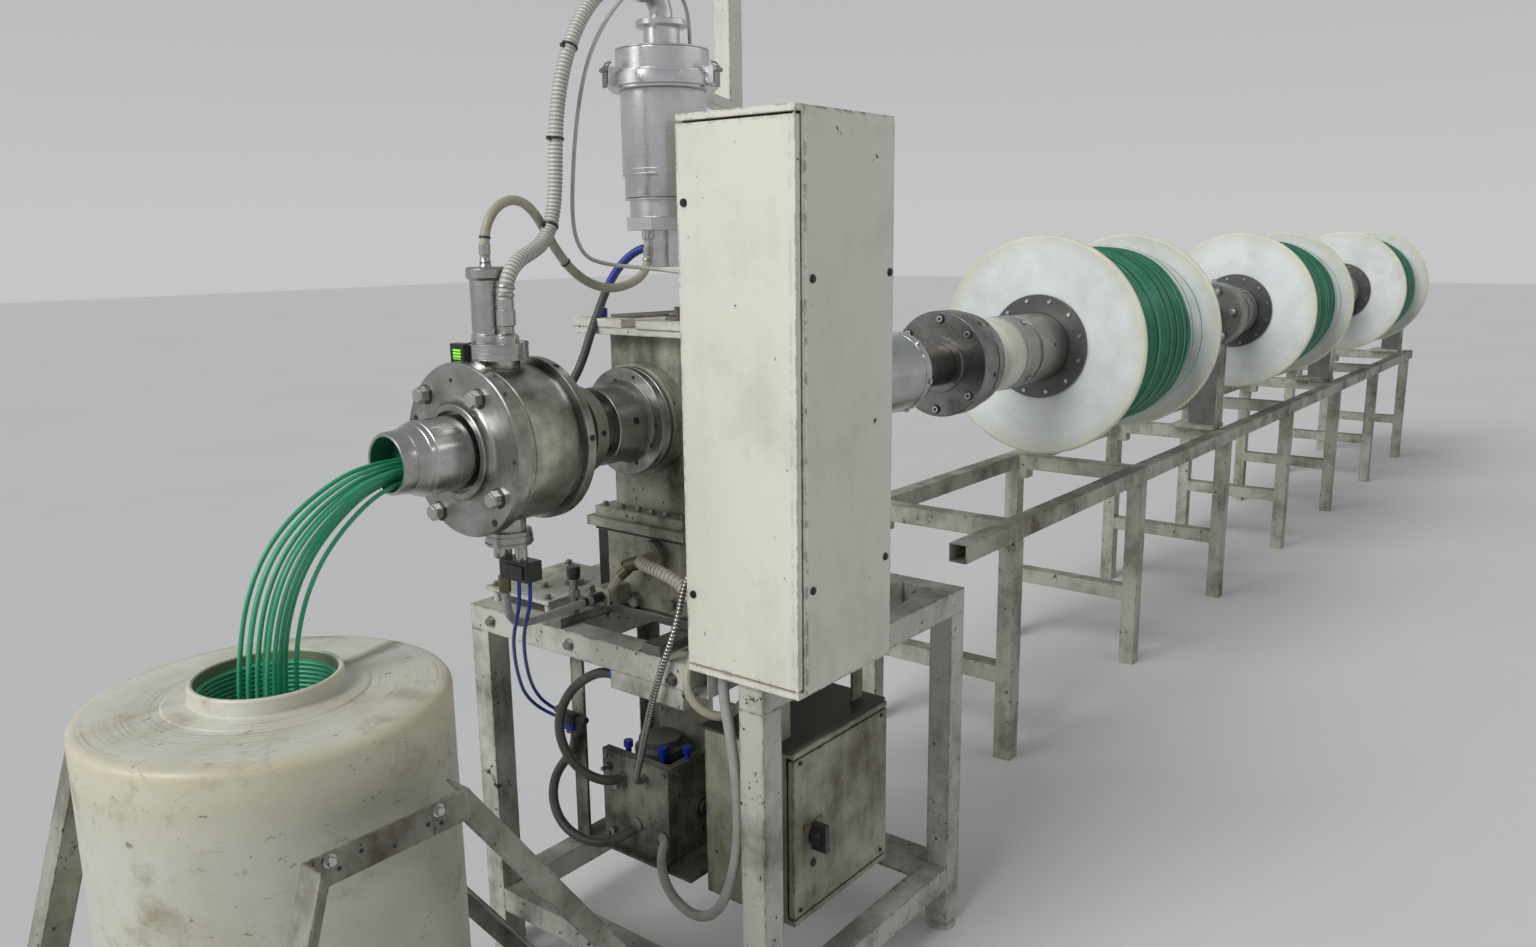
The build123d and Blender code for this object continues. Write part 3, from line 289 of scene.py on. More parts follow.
def paint(name, colour, grime, amount, chips, gloss, coverage=0.0, bump=0.5, depth=0.002):
    """Enamel with grime and chips, or bare plastic where nothing can chip."""
    return finish_material(name, paint_wear, {
        "Paint": colour, "Grime": grime, "Grime Amount": amount, "Coverage": coverage,
        "Chip Amount": chips, "Gloss": gloss}, bump, depth)


def make_piece(name, bm, material, width, turn_over=35.0):
    """Object of a finished mesh, with its sharp edges kept and rounded."""
    mesh = bpy.data.meshes.new(name)
    bm.to_mesh(mesh)
    bm.free()
    mesh.materials.append(material)
    mesh.shade_smooth()
    mesh.set_sharp_from_angle(angle=math.radians(turn_over))
    piece = put(name, mesh)
    if width > 0:
        bevel = piece.modifiers.new("rounded_edges", "BEVEL")
        bevel.width = width
        bevel.segments = 2
        bevel.limit_method = "ANGLE"
        bevel.angle_limit = math.radians(turn_over)
        bevel.harden_normals = True
    return piece


def soften(material, width, *nodes):
    """Copies of CAD nodes with their doubles merged and their edges rounded."""
    for name in nodes:
        source = frame["nodes"][name]
        bm = bmesh.new()
        bm.from_mesh(source.data)
        bmesh.ops.remove_doubles(bm, verts=bm.verts, dist=SAME_PLACE)
        bmesh.ops.dissolve_limit(bm, angle_limit=math.radians(0.5), verts=bm.verts,
                                 edges=bm.edges)
        piece = make_piece(name + "_skin", bm, material, width)
        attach(piece, source["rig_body"])
        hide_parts(name)
    return piece


def add_rod(bm, start, end, radius, sides=24, taper=1.0):
    """Round bar between two points, or one with few flats."""
    start, end = Vector(start), Vector(end)
    bmesh.ops.create_cone(bm, cap_ends=True, segments=sides, radius1=radius,
                          radius2=radius * taper, depth=(end - start).length,
                          matrix=Matrix.Translation((start + end) / 2)
                          @ (end - start).to_track_quat("Z", "Y").to_matrix().to_4x4())


def add_bolt(bm, place, facing, across=0.018, height=0.011, washer=True):
    """Hexagon head with a chamfered top, on a thin washer."""
    facing = Vector(facing).normalized()
    foot, radius = Vector(place), across / math.sqrt(3)
    if washer:
        foot = foot + facing * 0.002
        add_rod(bm, place, foot, across * 0.78)
    shoulder = foot + facing * height * 0.8
    add_rod(bm, foot, shoulder, radius, 6)
    add_rod(bm, shoulder, foot + facing * height, radius, 6, 0.86)


def finish(name, bm, material, slot, body="line", replaces=(), width=0.0, turn_over=35.0):
    """Finished mesh moved to its place, riding on its body."""
    bmesh.ops.recalc_face_normals(bm, faces=bm.faces)
    bmesh.ops.translate(bm, verts=bm.verts, vec=LINE_START)
    piece = make_piece(name, bm, material, width, turn_over)
    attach(piece, body)
    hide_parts(*replaces)


def build(name, material, slot, *forms, **last):
    """Piece made of forms, each given as the function that adds it and its values."""
    bm = bmesh.new()
    for add_form, *values in forms:
        add_form(bm, *values)
    finish(name, bm, material, slot, **last)


steel_wear, given, result = new_group("steel_wear", {
    "Steel": (0.55, 0.55, 0.54, 1.0), "Stain": (0.25, 0.24, 0.22, 1.0), "Stain Amount": 0.5,
    "Axis": (1.0, 0.0, 0.0), "Centre": (0.0, LINE_START.y, SHAFT), "Turned": 1.0,
    "Gloss": 0.28}, ["Base Color", "Roughness", "Height"])
spot = object_place(steel_wear)
offset = vector_maths("SUBTRACT", spot, given["Centre"])
along = vector_maths("DOT_PRODUCT", offset, given["Axis"])
on_axis = shader(steel_wear, "VectorMath", {0: given["Axis"], "Scale": along},
                 operation="SCALE")
radius = vector_maths("LENGTH", vector_maths("SUBTRACT", offset, on_axis))
ring_place = shader(steel_wear, "CombineXYZ", {0: along, 1: radius})
flat_place = shader(steel_wear, "Mapping", {"Vector": spot, "Scale": (0.04, 1.0, 1.0)})
line_place = shader(steel_wear, "Mix", {0: given["Turned"], 4: flat_place, 5: ring_place},
                    data_type="VECTOR")[1]
fine_lines = noise_value(line_place, 700.0, 2.0)
tone = spread(noise_value(line_place, 90.0), 0.3, 0.7, 0.0, 0.10)
blotch = noise_value(spot, 14.0, 6.0, 0.62) * 0.65 + noise_value(spot, 4.0, 4.0, 0.55) * 0.35
stain_mask = spread(blotch, 0.42, 0.66) * given["Stain Amount"]
metal = mix_colour(stain_mask, given["Steel"], given["Stain"])
grain = spread(fine_lines, 0.3, 0.7, -0.04, 0.06)
feed(result, {"Base Color": mix_colour(tone, metal, given["Stain"]),
              "Roughness": given["Gloss"] + grain + stain_mask * 0.22,
              "Height": fine_lines * 0.4 + stain_mask * 0.12})


def steel(name, colour, stain, amount, gloss, axis=(1.0, 0.0, 0.0), centre=(0.0, 0.0, SHAFT),
          turned=1.0, bump=0.12):
    """Steel with turning marks about an axis, or ground lines along the spindle."""
    return finish_material(name, steel_wear, {
        "Steel": colour, "Stain": stain, "Stain Amount": amount, "Axis": axis,
        "Centre": LINE_START + Vector(centre), "Turned": turned, "Gloss": gloss},
        bump, 0.0006, {"Metallic": 1.0})


table_paint = paint("table_paint", (0.56, 0.565, 0.50), (0.09, 0.08, 0.052), 0.95, 1.0, 0.42,
                    0.03)
soften(table_paint, 0.004, "table_legs", "table_top_frame", "table_base_rails")
bolt_steel = steel("bolt_steel", (0.36, 0.35, 0.33), (0.12, 0.10, 0.075), 0.8, 0.34, turned=0.0)
build("table_bolts", bolt_steel, "ground_steel",
      *((add_bolt, (0.0, y, z), (-1, 0, 0))
        for y, z in ((0.367, 0.876), (-0.208, 0.866), (0.10, 0.876))))

# Slide bars, saddle plate and base block
# Bright ground bars lie along the table and carry a thick plate, so the head can be drawn
# back. The cast block on it is enamelled cream and stands greasy from the gear oil.
slide_steel = steel("slide_steel", (0.33, 0.32, 0.30), (0.09, 0.08, 0.06), 0.85, 0.28,
                    turned=0.0)
greasy_cream = paint("greasy_cream", (0.52, 0.52, 0.425), (0.05, 0.044, 0.028), 1.0, 0.9, 0.33,
                     0.07)
shelf_cream = paint("shelf_cream", (0.72, 0.71, 0.64), (0.28, 0.25, 0.19), 0.6, 0.8, 0.40,
                    bump=0.4)
soften(slide_steel, 0.0015, "slide_rails", "saddle_plate")
soften(greasy_cream, 0.002, "base_block", "bearing_housing", "slide_plates")
soften(shelf_cream, 0.002, "housing_shelf")
build("block_bolts", bolt_steel, "ground_steel",
      (add_bolt, (0.124, 0.009, 0.962), (-1, 0, 0), 0.026, 0.013),
      (add_bolt, (0.124, -0.104, 0.975), (-1, 0, 0), 0.020, 0.013),
      *((add_bolt, (0.139, y, 1.164), (0, 0, 1), 0.012, 0.007)
        for y in (0.010, -0.032, -0.073, -0.122, 0.060, 0.112)),
      *((add_bolt, (x, y, 0.948), (0, 0, 1), 0.016, 0.011)
        for y in (0.18432, -0.18432) for x in (0.150, 0.520)))


def add_box(bm, low, high):
    """Box between two corners."""
    size = Vector(high) - Vector(low)
    middle = (Vector(low) + Vector(high)) / 2
    bmesh.ops.create_cube(bm, size=1.0, matrix=Matrix.Translation(middle)
                          @ Matrix.Diagonal((*size, 1.0)))


plate_corners = ((0.052, 0.225), (0.052, 0.405), (0.282, 0.225), (0.282, 0.405))
build("cover_plate", table_paint, "table_paint",
      (add_box, (0.036, 0.205, 0.934), (0.300, 0.428, 0.944)),
      *((add_rod, (x, y, 0.904), (x, y, 0.936), 0.008) for x, y in plate_corners),
      width=0.001)
build("plate_fittings", bolt_steel, "ground_steel",
      *((add_bolt, (x, y, 0.944), (0, 0, 1), 0.014, 0.009)
        for x, y in (*plate_corners, (0.110, 0.300))),
      (add_rod, (0.070, 0.154, 0.926), (0.070, 0.154, 1.000), 0.0085),
      (add_rod, (0.070, 0.154, 0.958), (0.070, 0.154, 0.976), 0.013, 6),
      (add_rod, (0.170, 0.262, 0.944), (0.170, 0.262, 0.958), 0.022),
      (add_rod, (0.170, 0.262, 0.956), (0.170, 0.262, 0.974), 0.012, 6), width=0.0006)
knob_black = paint("knob_black", (0.018, 0.018, 0.019), (0.08, 0.07, 0.055), 0.5, 0.2, 0.34,
                   bump=0.3, depth=0.001)
build("lock_knob", knob_black, "black_plastic",
      (add_rod, (0.070, 0.154, 1.000), (0.070, 0.154, 1.012), 0.013, 24, 1.25),
      (add_rod, (0.070, 0.154, 1.012), (0.070, 0.154, 1.030), 0.0165, 24, 0.92), width=0.002)
# Painted shade: thin near-black sheets on the block's side stand for its open channel, a joint
# line and two holes.
painted_slot_shade = paint("painted_slot_shade", (0.020, 0.018, 0.013), (0.05, 0.045, 0.03), 0.5, 0.0, 0.40,
                  bump=0.2, depth=0.001)
build("side_slot_shade", painted_slot_shade, "dark_steel",
      (add_box, (0.1232, 0.094, 0.955), (0.1246, 0.123, 1.110)),
      (add_box, (0.1232, -0.131, 1.111), (0.1246, 0.131, 1.1195)),
      (add_rod, (0.1232, 0.049, 1.040), (0.1250, 0.049, 1.040), 0.0065),
      (add_rod, (0.1232, 0.078, 0.990), (0.1250, 0.078, 0.990), 0.0035))
build("shelf_bars", shelf_cream, "cream_paint",
      (add_box, (0.118, 0.022, 1.5645), (0.160, 0.173, 1.584)),
      (add_box, (0.116, -0.150, 1.5645), (0.156, -0.022, 1.582)),
      (add_box, (0.156, -0.171, 1.5645), (0.428, 0.171, 1.575)), width=0.0025)
build("shelf_fittings", bolt_steel, "ground_steel",
      (add_rod, (0.165, 0.100, 1.584), (0.290, -0.030, 1.592), 0.006),
      (add_rod, (0.250, 0.005, 1.586), (0.330, -0.090, 1.594), 0.009),
      (add_rod, (0.262, -0.012, 1.575), (0.262, -0.012, 1.604), 0.010, 6),
      (add_box, (0.240, -0.030, 1.575), (0.285, 0.008, 1.583)), width=0.0006)
cap_blue = paint("cap_blue", (0.012, 0.035, 0.42), (0.03, 0.03, 0.05), 0.4, 0.0, 0.30,
                 bump=0.2, depth=0.001)
build("blue_cap", cap_blue, "hose_blue",
      (add_rod, (0.158, 0.118, 1.584), (0.158, 0.118, 1.600), 0.0105),
      (add_rod, (0.158, 0.118, 1.600), (0.158, 0.118, 1.604), 0.0105, 24, 0.86), width=0.0008)

# Strand head
# Three turned stainless pieces bolted together: front cover with the outlet collar, round
# body and rear cover. Handling has left them grey with duller blotches.
AXES = {"X": ((1, 0, 0), (0, 0, 1)), "Z": ((0, 0, 1), (1, 0, 0))}  # way along, way out


def add_turned(bm, profile, axis="X", centre=(0.0, 0.0, SHAFT), steps=96, closed=True):
    """Solid turned from (place along the axis, radius) points."""
    way, out = AXES[axis]
    verts = [bm.verts.new(Vector(centre) + Vector(way) * place + Vector(out) * radius)
             for place, radius in profile]
    pairs = list(zip(verts, verts[1:]))
    if closed:
        pairs.append((verts[-1], verts[0]))
    edges = [bm.edges.new(pair) for pair in pairs]
    before = set(bm.verts) - set(verts)
    bmesh.ops.spin(bm, geom=verts + edges, cent=centre, axis=way, angle=math.tau,
                   steps=steps, use_merge=True)
    made = [vert for vert in bm.verts if vert not in before]
    bmesh.ops.remove_doubles(bm, verts=made, dist=SAME_PLACE)


head_steel = steel("head_steel", (0.42, 0.42, 0.405), (0.15, 0.148, 0.12), 1.0, 0.25,
                   bump=0.06)
body_steel = steel("body_steel", (0.46, 0.47, 0.435), (0.12, 0.115, 0.08), 1.0, 0.27,
                   bump=0.05)
build("front_cover", head_steel, "polished_steel", (add_turned, [
    (-0.300, 0.049), (-0.300, 0.164), (-0.3255, 0.164), (-0.328, 0.1615), (-0.328, 0.103),
    (-0.3295, 0.0965), (-0.333, 0.0925), (-0.338, 0.090), (-0.345, 0.090), (-0.347, 0.088),
    (-0.347, 0.077), (-0.328, 0.077), (-0.328, 0.049)]),
    replaces=["head_front_cover"], width=0.0008)
build("body_round", body_steel, "polished_steel", (add_turned, [
    (-0.300, 0.049), (-0.300, 0.1445), (-0.2945, 0.150), (-0.284, 0.150), (-0.282, 0.1475),
    (-0.278, 0.1475), (-0.276, 0.150), (-0.180, 0.150), (-0.170, 0.1465), (-0.166, 0.140),
    (-0.159, 0.140), (-0.159, 0.049)]), replaces=["head_body"], width=0.0008)
build("rear_cover", head_steel, "polished_steel", (add_turned, [
    (-0.159, 0.049), (-0.159, 0.160), (-0.1395, 0.160), (-0.137, 0.1575), (-0.137, 0.098),
    (-0.134, 0.088), (-0.128, 0.085), (-0.105, 0.085), (-0.103, 0.083), (-0.103, 0.0653),
    (-0.139, 0.0653), (-0.139, 0.049)]), replaces=["head_rear_cover"], width=0.0008)
bright_bolt = steel("bright_bolt", (0.58, 0.58, 0.565), (0.30, 0.29, 0.26), 0.5, 0.22,
                    turned=0.0)
# Dark steel for the painted shadow and dirt rings under the cover bolts.
bolt_ring_shadow_and_dirt = steel("bolt_ring_shadow_and_dirt", (0.10, 0.098, 0.09), (0.05, 0.046, 0.04), 0.7, 0.38)


def add_hole(bm, place, facing, radius):
    """Short plug at a drilled hole's mouth; a near-black material makes it painted shade."""
    reach = Vector(facing).normalized() * 0.0008
    add_rod(bm, Vector(place) - reach, Vector(place) + reach, radius, 20)


def spoke(x, angle, reach):
    """Point beside the spindle's axis, and the way out to it."""
    away = Vector((0.0, -math.sin(math.radians(angle)), math.cos(math.radians(angle))))
    return Vector((x, 0.0, SHAFT)) + away * reach, away


cover_bolts = [(-0.328, y, z)
               for y, z in ((0.098, 1.468), (-0.058, 1.471), (-0.098, 1.292), (0.078, 1.245))]
build("head_bolts", bright_bolt, "polished_steel",
      *((add_bolt, place, (-1, 0, 0), 0.0285, 0.022, False) for place in cover_bolts),
      width=0.0006)
# Painted shadow and dirt: dark discs under the cover bolts stand for the shadow and dirt ring
# round each head.
build("bolt_shadow_and_dirt_rings", bolt_ring_shadow_and_dirt, "dark_steel",
      *((add_hole, place, (-1, 0, 0), 0.0192) for place in cover_bolts))
# Near-black material: painted shade in holes and recesses, and the lower door's dark fittings.
black_parts_and_hole_shade, hole_tree, hole_surface = blank_material("black_parts_and_hole_shade")
hole_cloud = noise_value(object_place(hole_tree), 120.0)
feed(hole_surface, {"Base Color": spread(hole_cloud, 0.3, 0.7, 0.008, 0.03),
                    "Roughness": 0.6})
# Painted shade: dark plugs stand for the drilled holes in the covers, the body and the hub.
build("head_hole_shades", black_parts_and_hole_shade, "dark_steel",
      *((add_hole, (x, y, z), (-1, 0, 0), radius) for x, y, z, radius in (
          (-0.328, 0.135, 1.420, 0.006), (-0.328, -0.133, 1.485, 0.004),
          (-0.328, -0.148, 1.364, 0.004), (-0.328, -0.083, 1.244, 0.007),
          (-0.328, 0.02, 1.50, 0.004), (0.0928, 0.020, 1.455, 0.006),
          (0.0928, -0.033, 1.466, 0.004), (0.0928, -0.075, 1.327, 0.006),
          (0.0928, -0.034, 1.284, 0.005), (0.0928, -0.096, 1.370, 0.005),
          (0.0928, 0.075, 1.300, 0.006))),
      *((add_hole, *spoke(-0.148, angle, 0.160), 0.0065) for angle in range(25, 360, 60)),
      (add_hole, *spoke(0.050, 80, 0.082), 0.008), (add_hole, *spoke(-0.051, 88, 0.090), 0.006))

# Outlet tube
# Turned stainless nose that the strands leave through. It has a stepped rim with two
# grooves, and the running strands have stained its bore green.
outlet_steel = steel("outlet_steel", (0.56, 0.56, 0.555), (0.27, 0.265, 0.24), 0.7, 0.20,
                     bump=0.03)
build("outlet", outlet_steel, "polished_steel", (add_turned, [
    (-0.328, 0.049), (-0.328, 0.0692), (-0.4255, 0.0688), (-0.4265, 0.0670),
    (-0.4285, 0.0665), (-0.4365, 0.0655), (-0.4375, 0.0640), (-0.4395, 0.0635),
    (-0.4480, 0.0598), (-0.4590, 0.0578), (-0.4600, 0.0568), (-0.4615, 0.0568),
    (-0.4625, 0.0575), (-0.4860, 0.0560), (-0.4895, 0.0540), (-0.4900, 0.0512),
    (-0.4885, 0.049)]), replaces=["outlet_tube"], width=0.0005)
stained_bore = paint("stained_bore", (0.03, 0.16, 0.10), (0.02, 0.05, 0.035), 0.6, 0.0, 0.30,
                     bump=0.2, depth=0.001)
build("guide_disc", stained_bore, "strand_green", (add_turned, [
    (-0.445, 0.0), (-0.445, 0.047), (-0.443, 0.0488), (-0.439, 0.0488), (-0.439, 0.0)],
    "X", (0.0, 0.0, SHAFT), 48, False))
build("bore_film", stained_bore, "strand_green", (add_turned, [
    (-0.445, 0.0488), (-0.4885, 0.0488), (-0.4885, 0.0482), (-0.445, 0.0482)]))

# Quill, clamp ring, sleeve and hub flange
# The hollow quill carries the head in front of the housing. A split ring grips it, and
# the flanged sleeve bolts to the boss of the housing.
quill_steel = steel("quill_steel", (0.20, 0.185, 0.17), (0.07, 0.06, 0.05), 0.8, 0.25)
soften(quill_steel, 0.0008, "quill_tube")
clamp_steel = steel("clamp_steel", (0.42, 0.45, 0.39), (0.20, 0.22, 0.17), 0.8, 0.36)
soften(clamp_steel, 0.0012, "quill_clamp")
build("hub", head_steel, "ground_steel", (add_turned, [
    (0.003, 0.0653), (0.003, 0.080), (0.005, 0.082), (0.080, 0.082), (0.086, 0.084),
    (0.093, 0.089), (0.093, 0.1135), (0.0945, 0.115), (0.108, 0.115), (0.109, 0.1132),
    (0.112, 0.1132), (0.113, 0.115), (0.1237, 0.115), (0.1237, 0.0653)]),
    replaces=["hub_flange"], width=0.0007)

# Ports on the head
# A polished ring with a suction elbow and a filter cylinder sits on the head. Below it is
# a matching ring with a drain and a black sensor, and a small display hangs beside it.
PORT_X = -0.2295
port_steel = steel("port_steel", (0.50, 0.50, 0.49), (0.25, 0.245, 0.22), 0.6, 0.20,
                   axis=(0.0, 0.0, 1.0), centre=(PORT_X, 0.0, SHAFT))
soften(port_steel, 0.001, "top_port", "bottom_port")
build("filter_cylinder", port_steel, "polished_steel", (add_turned, [
    (1.563, 0.0), (1.563, 0.034), (1.577, 0.034), (1.579, 0.0315), (1.583, 0.031),
    (1.585, 0.0315), (1.678, 0.0315), (1.681, 0.034), (1.683, 0.0375), (1.6995, 0.0375),
    (1.703, 0.0345), (1.703, 0.012), (1.706, 0.0112), (1.709, 0.0095), (1.712, 0.0112),
    (1.715, 0.0095), (1.722, 0.0090), (1.722, 0.0)], "Z", (PORT_X, 0.024, 0.0), 64, False),
    replaces=["port_cylinder"], width=0.0005)


def add_ring(bm, low, high, inner, reach, centre, steps):
    """Flat ring round an upright axis."""
    add_turned(bm, [(low, inner), (low, reach), (high, reach), (high, inner)], "Z", centre,
               steps)


build("port_bands", port_steel, "polished_steel",
      *((add_ring, low, high, inner, reach, (PORT_X, 0.0, 0.0), 64)
        for low, high, inner, reach in (
            (1.5320, 1.5345, 0.050, 0.0572), (1.5450, 1.5465, 0.050, 0.0566),
            (1.5600, 1.5630, 0.050, 0.0574), (1.180, 1.192, 0.040, 0.046),
            (1.176, 1.178, 0.040, 0.0475))), width=0.0004)

soil_wear, given, result = new_group("soil_wear", {
    "Clean": (0.8, 0.78, 0.7, 1.0), "Soil": (0.35, 0.28, 0.18, 1.0), "Soil Amount": 0.4,
    "Scale": 6.0, "Gloss": 0.4}, ["Base Color", "Roughness", "Height"])
spot = object_place(soil_wear)
patches = noise_value(spot, given["Scale"], 7.0, 0.62)
streaks = noise_value(spot, given["Scale"], 6.0, 0.7, (0.5, 3.0, 3.0))
share = spread(patches * 0.6 + streaks * 0.4, 0.44, 0.74) * given["Soil Amount"]
feed(result, {"Base Color": mix_colour(share, given["Clean"], given["Soil"]),
              "Roughness": given["Gloss"] + share * 0.25,
              "Height": noise_value(spot, 240.0) * 0.15 + patches * 0.5})


def plastic(name, clean, soil, amount, scale, gloss, bump=0.2, depth=0.001, glow=0.0):
    """Plastic or rubber that has soiled, and that light enters a little where it glows."""
    values = {"Soil": soil, "Soil Amount": amount, "Scale": scale, "Gloss": gloss}
    if clean is not None:
        values["Clean"] = clean
    within = {"Subsurface Weight": glow, "Subsurface Scale": 0.02} if glow else {}
    return finish_material(name, soil_wear, values, bump, depth, within)


black_plastic = plastic("black_plastic", (0.012, 0.012, 0.013), (0.07, 0.065, 0.055), 0.35,
                        20.0, 0.34, 0.15)
build("sensor_case", black_plastic, "black_plastic",
      (add_box, (-0.291, 0.0255, 1.525), (-0.268, 0.066, 1.563)),
      (add_box, (-0.268, 0.036, 1.532), (-0.255, 0.056, 1.556)), width=0.0015)
lit_green, lit_tree, lit_surface = blank_material("lit_green")
lit_rows = shader(lit_tree, "TexWave", {"Vector": object_place(lit_tree), "Scale": 55.0},
                  bands_direction="Z")[1]
lit_colour = mix_colour(spread(lit_rows, 0.2, 0.6), (0.01, 0.05, 0.01), (0.25, 0.85, 0.05))
feed(lit_surface, {"Base Color": lit_colour, "Emission Color": lit_colour,
                   "Emission Strength": 0.6})
build("sensor_screen", lit_green, "black_plastic",
      (add_box, (-0.2918, 0.034, 1.534), (-0.2908, 0.056, 1.554)))
build("low_sensor", black_plastic, "black_plastic",
      (add_box, (-0.2495, -0.069, 1.105), (-0.2095, 0.0105, 1.145)),
      (add_box, (-0.2535, -0.060, 1.112), (-0.2495, -0.008, 1.138)), width=0.002)

# Tall cabinet
# Folded sheet steel, sprayed cream-white, on the near side of the table. Its door hangs
# on pins at the near corner, and quarter-turn locks hold the covers.
cabinet_paint = paint("cabinet_paint", (0.76, 0.75, 0.66), (0.36, 0.34, 0.27), 0.38, 0.68, 0.40,
                      bump=0.25, depth=0.001)
soften(cabinet_paint, 0.0018, "tall_cabinet", "tall_cabinet_door")


def add_lock(bm, place, facing, radius):
    """Round lock body with a raised core."""
    for reach, tall in ((radius, 0.003), (radius * 0.7, 0.0045)):
        add_rod(bm, place, Vector(place) + Vector(facing) * tall, reach, 24, 0.92)


build("door_locks", black_plastic, "black_plastic",
      *((add_lock, (-0.015, -0.285, z), (-1, 0, 0), 0.008) for z in (1.815, 1.066)),
      body="tall_door")
build("side_locks", black_plastic, "black_plastic",
      *((add_lock, (x, -0.543, z), (0, -1, 0), 0.008) for x, z in (
          (0.030, 1.679), (0.283, 1.683), (0.028, 1.109), (0.276, 1.119))))

# Lower cabinet
# Small sheet steel box under the near rail, with a rotary switch on its door. It is
# greener and much dirtier than the tall one, with a dark plate on top.
low_cabinet_paint = paint("low_cabinet_paint", (0.35, 0.37, 0.275), (0.085, 0.065, 0.038), 1.0,
                          0.9, 0.42, 0.05)


def stain_over(material, colour, mask):
    """Marks of one colour over the base colour that a material has."""
    surface_node = material.node_tree.nodes["Principled BSDF"]
    base = Value(surface_node.inputs["Base Color"].links[0].from_socket)
    feed(surface_node, {"Base Color": mix_colour(mask, base, colour)})


rust = noise_value(object_place(low_cabinet_paint.node_tree), 1.0, 6.0, 0.65,
                   (34.0, 34.0, 5.0))
stain_over(low_cabinet_paint, (0.13, 0.060, 0.028), spread(rust, 0.60, 0.72, 0.0, 0.75))
soften(low_cabinet_paint, 0.002, "lower_cabinet", "lower_cabinet_door")
soften(black_plastic, 0.002, "main_switch_knob")
build("door_fittings", black_parts_and_hole_shade, "black_plastic",
      (add_lock, (0.174, -0.435, 0.455), (0, -1, 0), 0.009),
      *((add_bolt, (x, -0.435, z), (0, -1, 0), 0.009, 0.004, False) for x, z in (
          (0.130, 0.696), (0.128, 0.366), (0.436, 0.696), (0.436, 0.366))),
      body="lower_door")
dark_sheet = steel("dark_sheet", (0.09, 0.09, 0.085), (0.16, 0.15, 0.12), 0.8, 0.45,
                   turned=0.0)
build("cabinet_top_plate", dark_sheet, "dark_paint",
      (add_box, (0.100, -0.428, 0.7215), (0.466, -0.190, 0.7275)), width=0.001)

# Units under the table
# A shelf on angle posts carries a sheet steel guard box with a finned motor and a gear
# case in it. All of it is dark with oil and dust.
oily_paint = paint("oily_paint", (0.33, 0.34, 0.275), (0.05, 0.046, 0.032), 1.0, 1.0, 0.40,
                   0.08)


def add_angle(bm, x, y, side_x, side_y):
    """Upright angle bar, whose flanges run from its corner to two sides."""
    for wide, deep in ((0.040, 0.004), (0.004, 0.040)):
        (left, right_end), (near, far) = (sorted((x, x + wide * side_x)),
                                          sorted((y, y + deep * side_y)))
        add_box(bm, (left, near, 0.370), (right_end, far, 0.846))


build("drive_shelf", oily_paint, "grimy_paint",
      (add_box, (0.070, -0.180, 0.362), (0.330, 0.180, 0.370)),
      (add_angle, 0.070, 0.180, 1, -1), (add_angle, 0.330, -0.180, -1, 1),
      (add_angle, 0.330, 0.180, -1, -1),
      (add_box, (0.044, 0.140, 0.632), (0.070, 0.176, 0.676)),
      replaces=["drive_frame"], width=0.0012)
dark_unit = paint("dark_unit", (0.045, 0.05, 0.055), (0.17, 0.15, 0.12), 0.8, 0.6, 0.42,
                  bump=0.4)
build("guard_box", oily_paint, "grimy_paint",
      (add_box, (0.090, -0.100, 0.370), (0.093, 0.106, 0.598)),
      (add_box, (0.093, -0.100, 0.370), (0.285, -0.097, 0.598)),
      (add_box, (0.282, -0.097, 0.370), (0.285, 0.106, 0.662)),
      (add_box, (0.090, -0.098, 0.595), (0.112, 0.106, 0.598)),
      (add_box, (0.282, -0.150, 0.372), (0.285, -0.100, 0.700)),
      replaces=["valve_block"], width=0.0010)


def add_fin(bm, angle):
    """One cooling fin of the motor."""
    swing = (Matrix.Translation((0.205, 0.030, 0.482)) @ Matrix.Rotation(angle, 4, "Z")
             @ Matrix.Translation((0.057, 0.0, 0.0)))
    bmesh.ops.create_cube(bm, size=1.0,
                          matrix=swing @ Matrix.Diagonal((0.010, 0.003, 0.150, 1.0)))


build("pump_motor", dark_unit, "dark_paint", (add_turned, [
    (0.370, 0.0), (0.370, 0.062), (0.400, 0.062), (0.404, 0.055), (0.560, 0.055),
    (0.564, 0.060), (0.584, 0.060), (0.590, 0.052), (0.606, 0.050), (0.610, 0.040),
    (0.610, 0.0)], "Z", (0.205, 0.030, 0.0), 48, False),
    *((add_fin, math.radians(angle)) for angle in range(0, 360, 20)),
    replaces=["pump_block"], width=0.0008)
build("gear_case", dark_unit, "dark_paint",
      (add_box, (0.130, -0.092, 0.372), (0.270, -0.040, 0.570)),
      (add_rod, (0.200, -0.108, 0.470), (0.200, -0.096, 0.470), 0.026),
      (add_rod, (0.200, -0.116, 0.470), (0.200, -0.106, 0.470), 0.017),
      replaces=["gear_unit"], width=0.002)
valve_steel = steel("valve_steel", (0.34, 0.33, 0.31), (0.14, 0.12, 0.10), 0.8, 0.36,
                    turned=0.0)
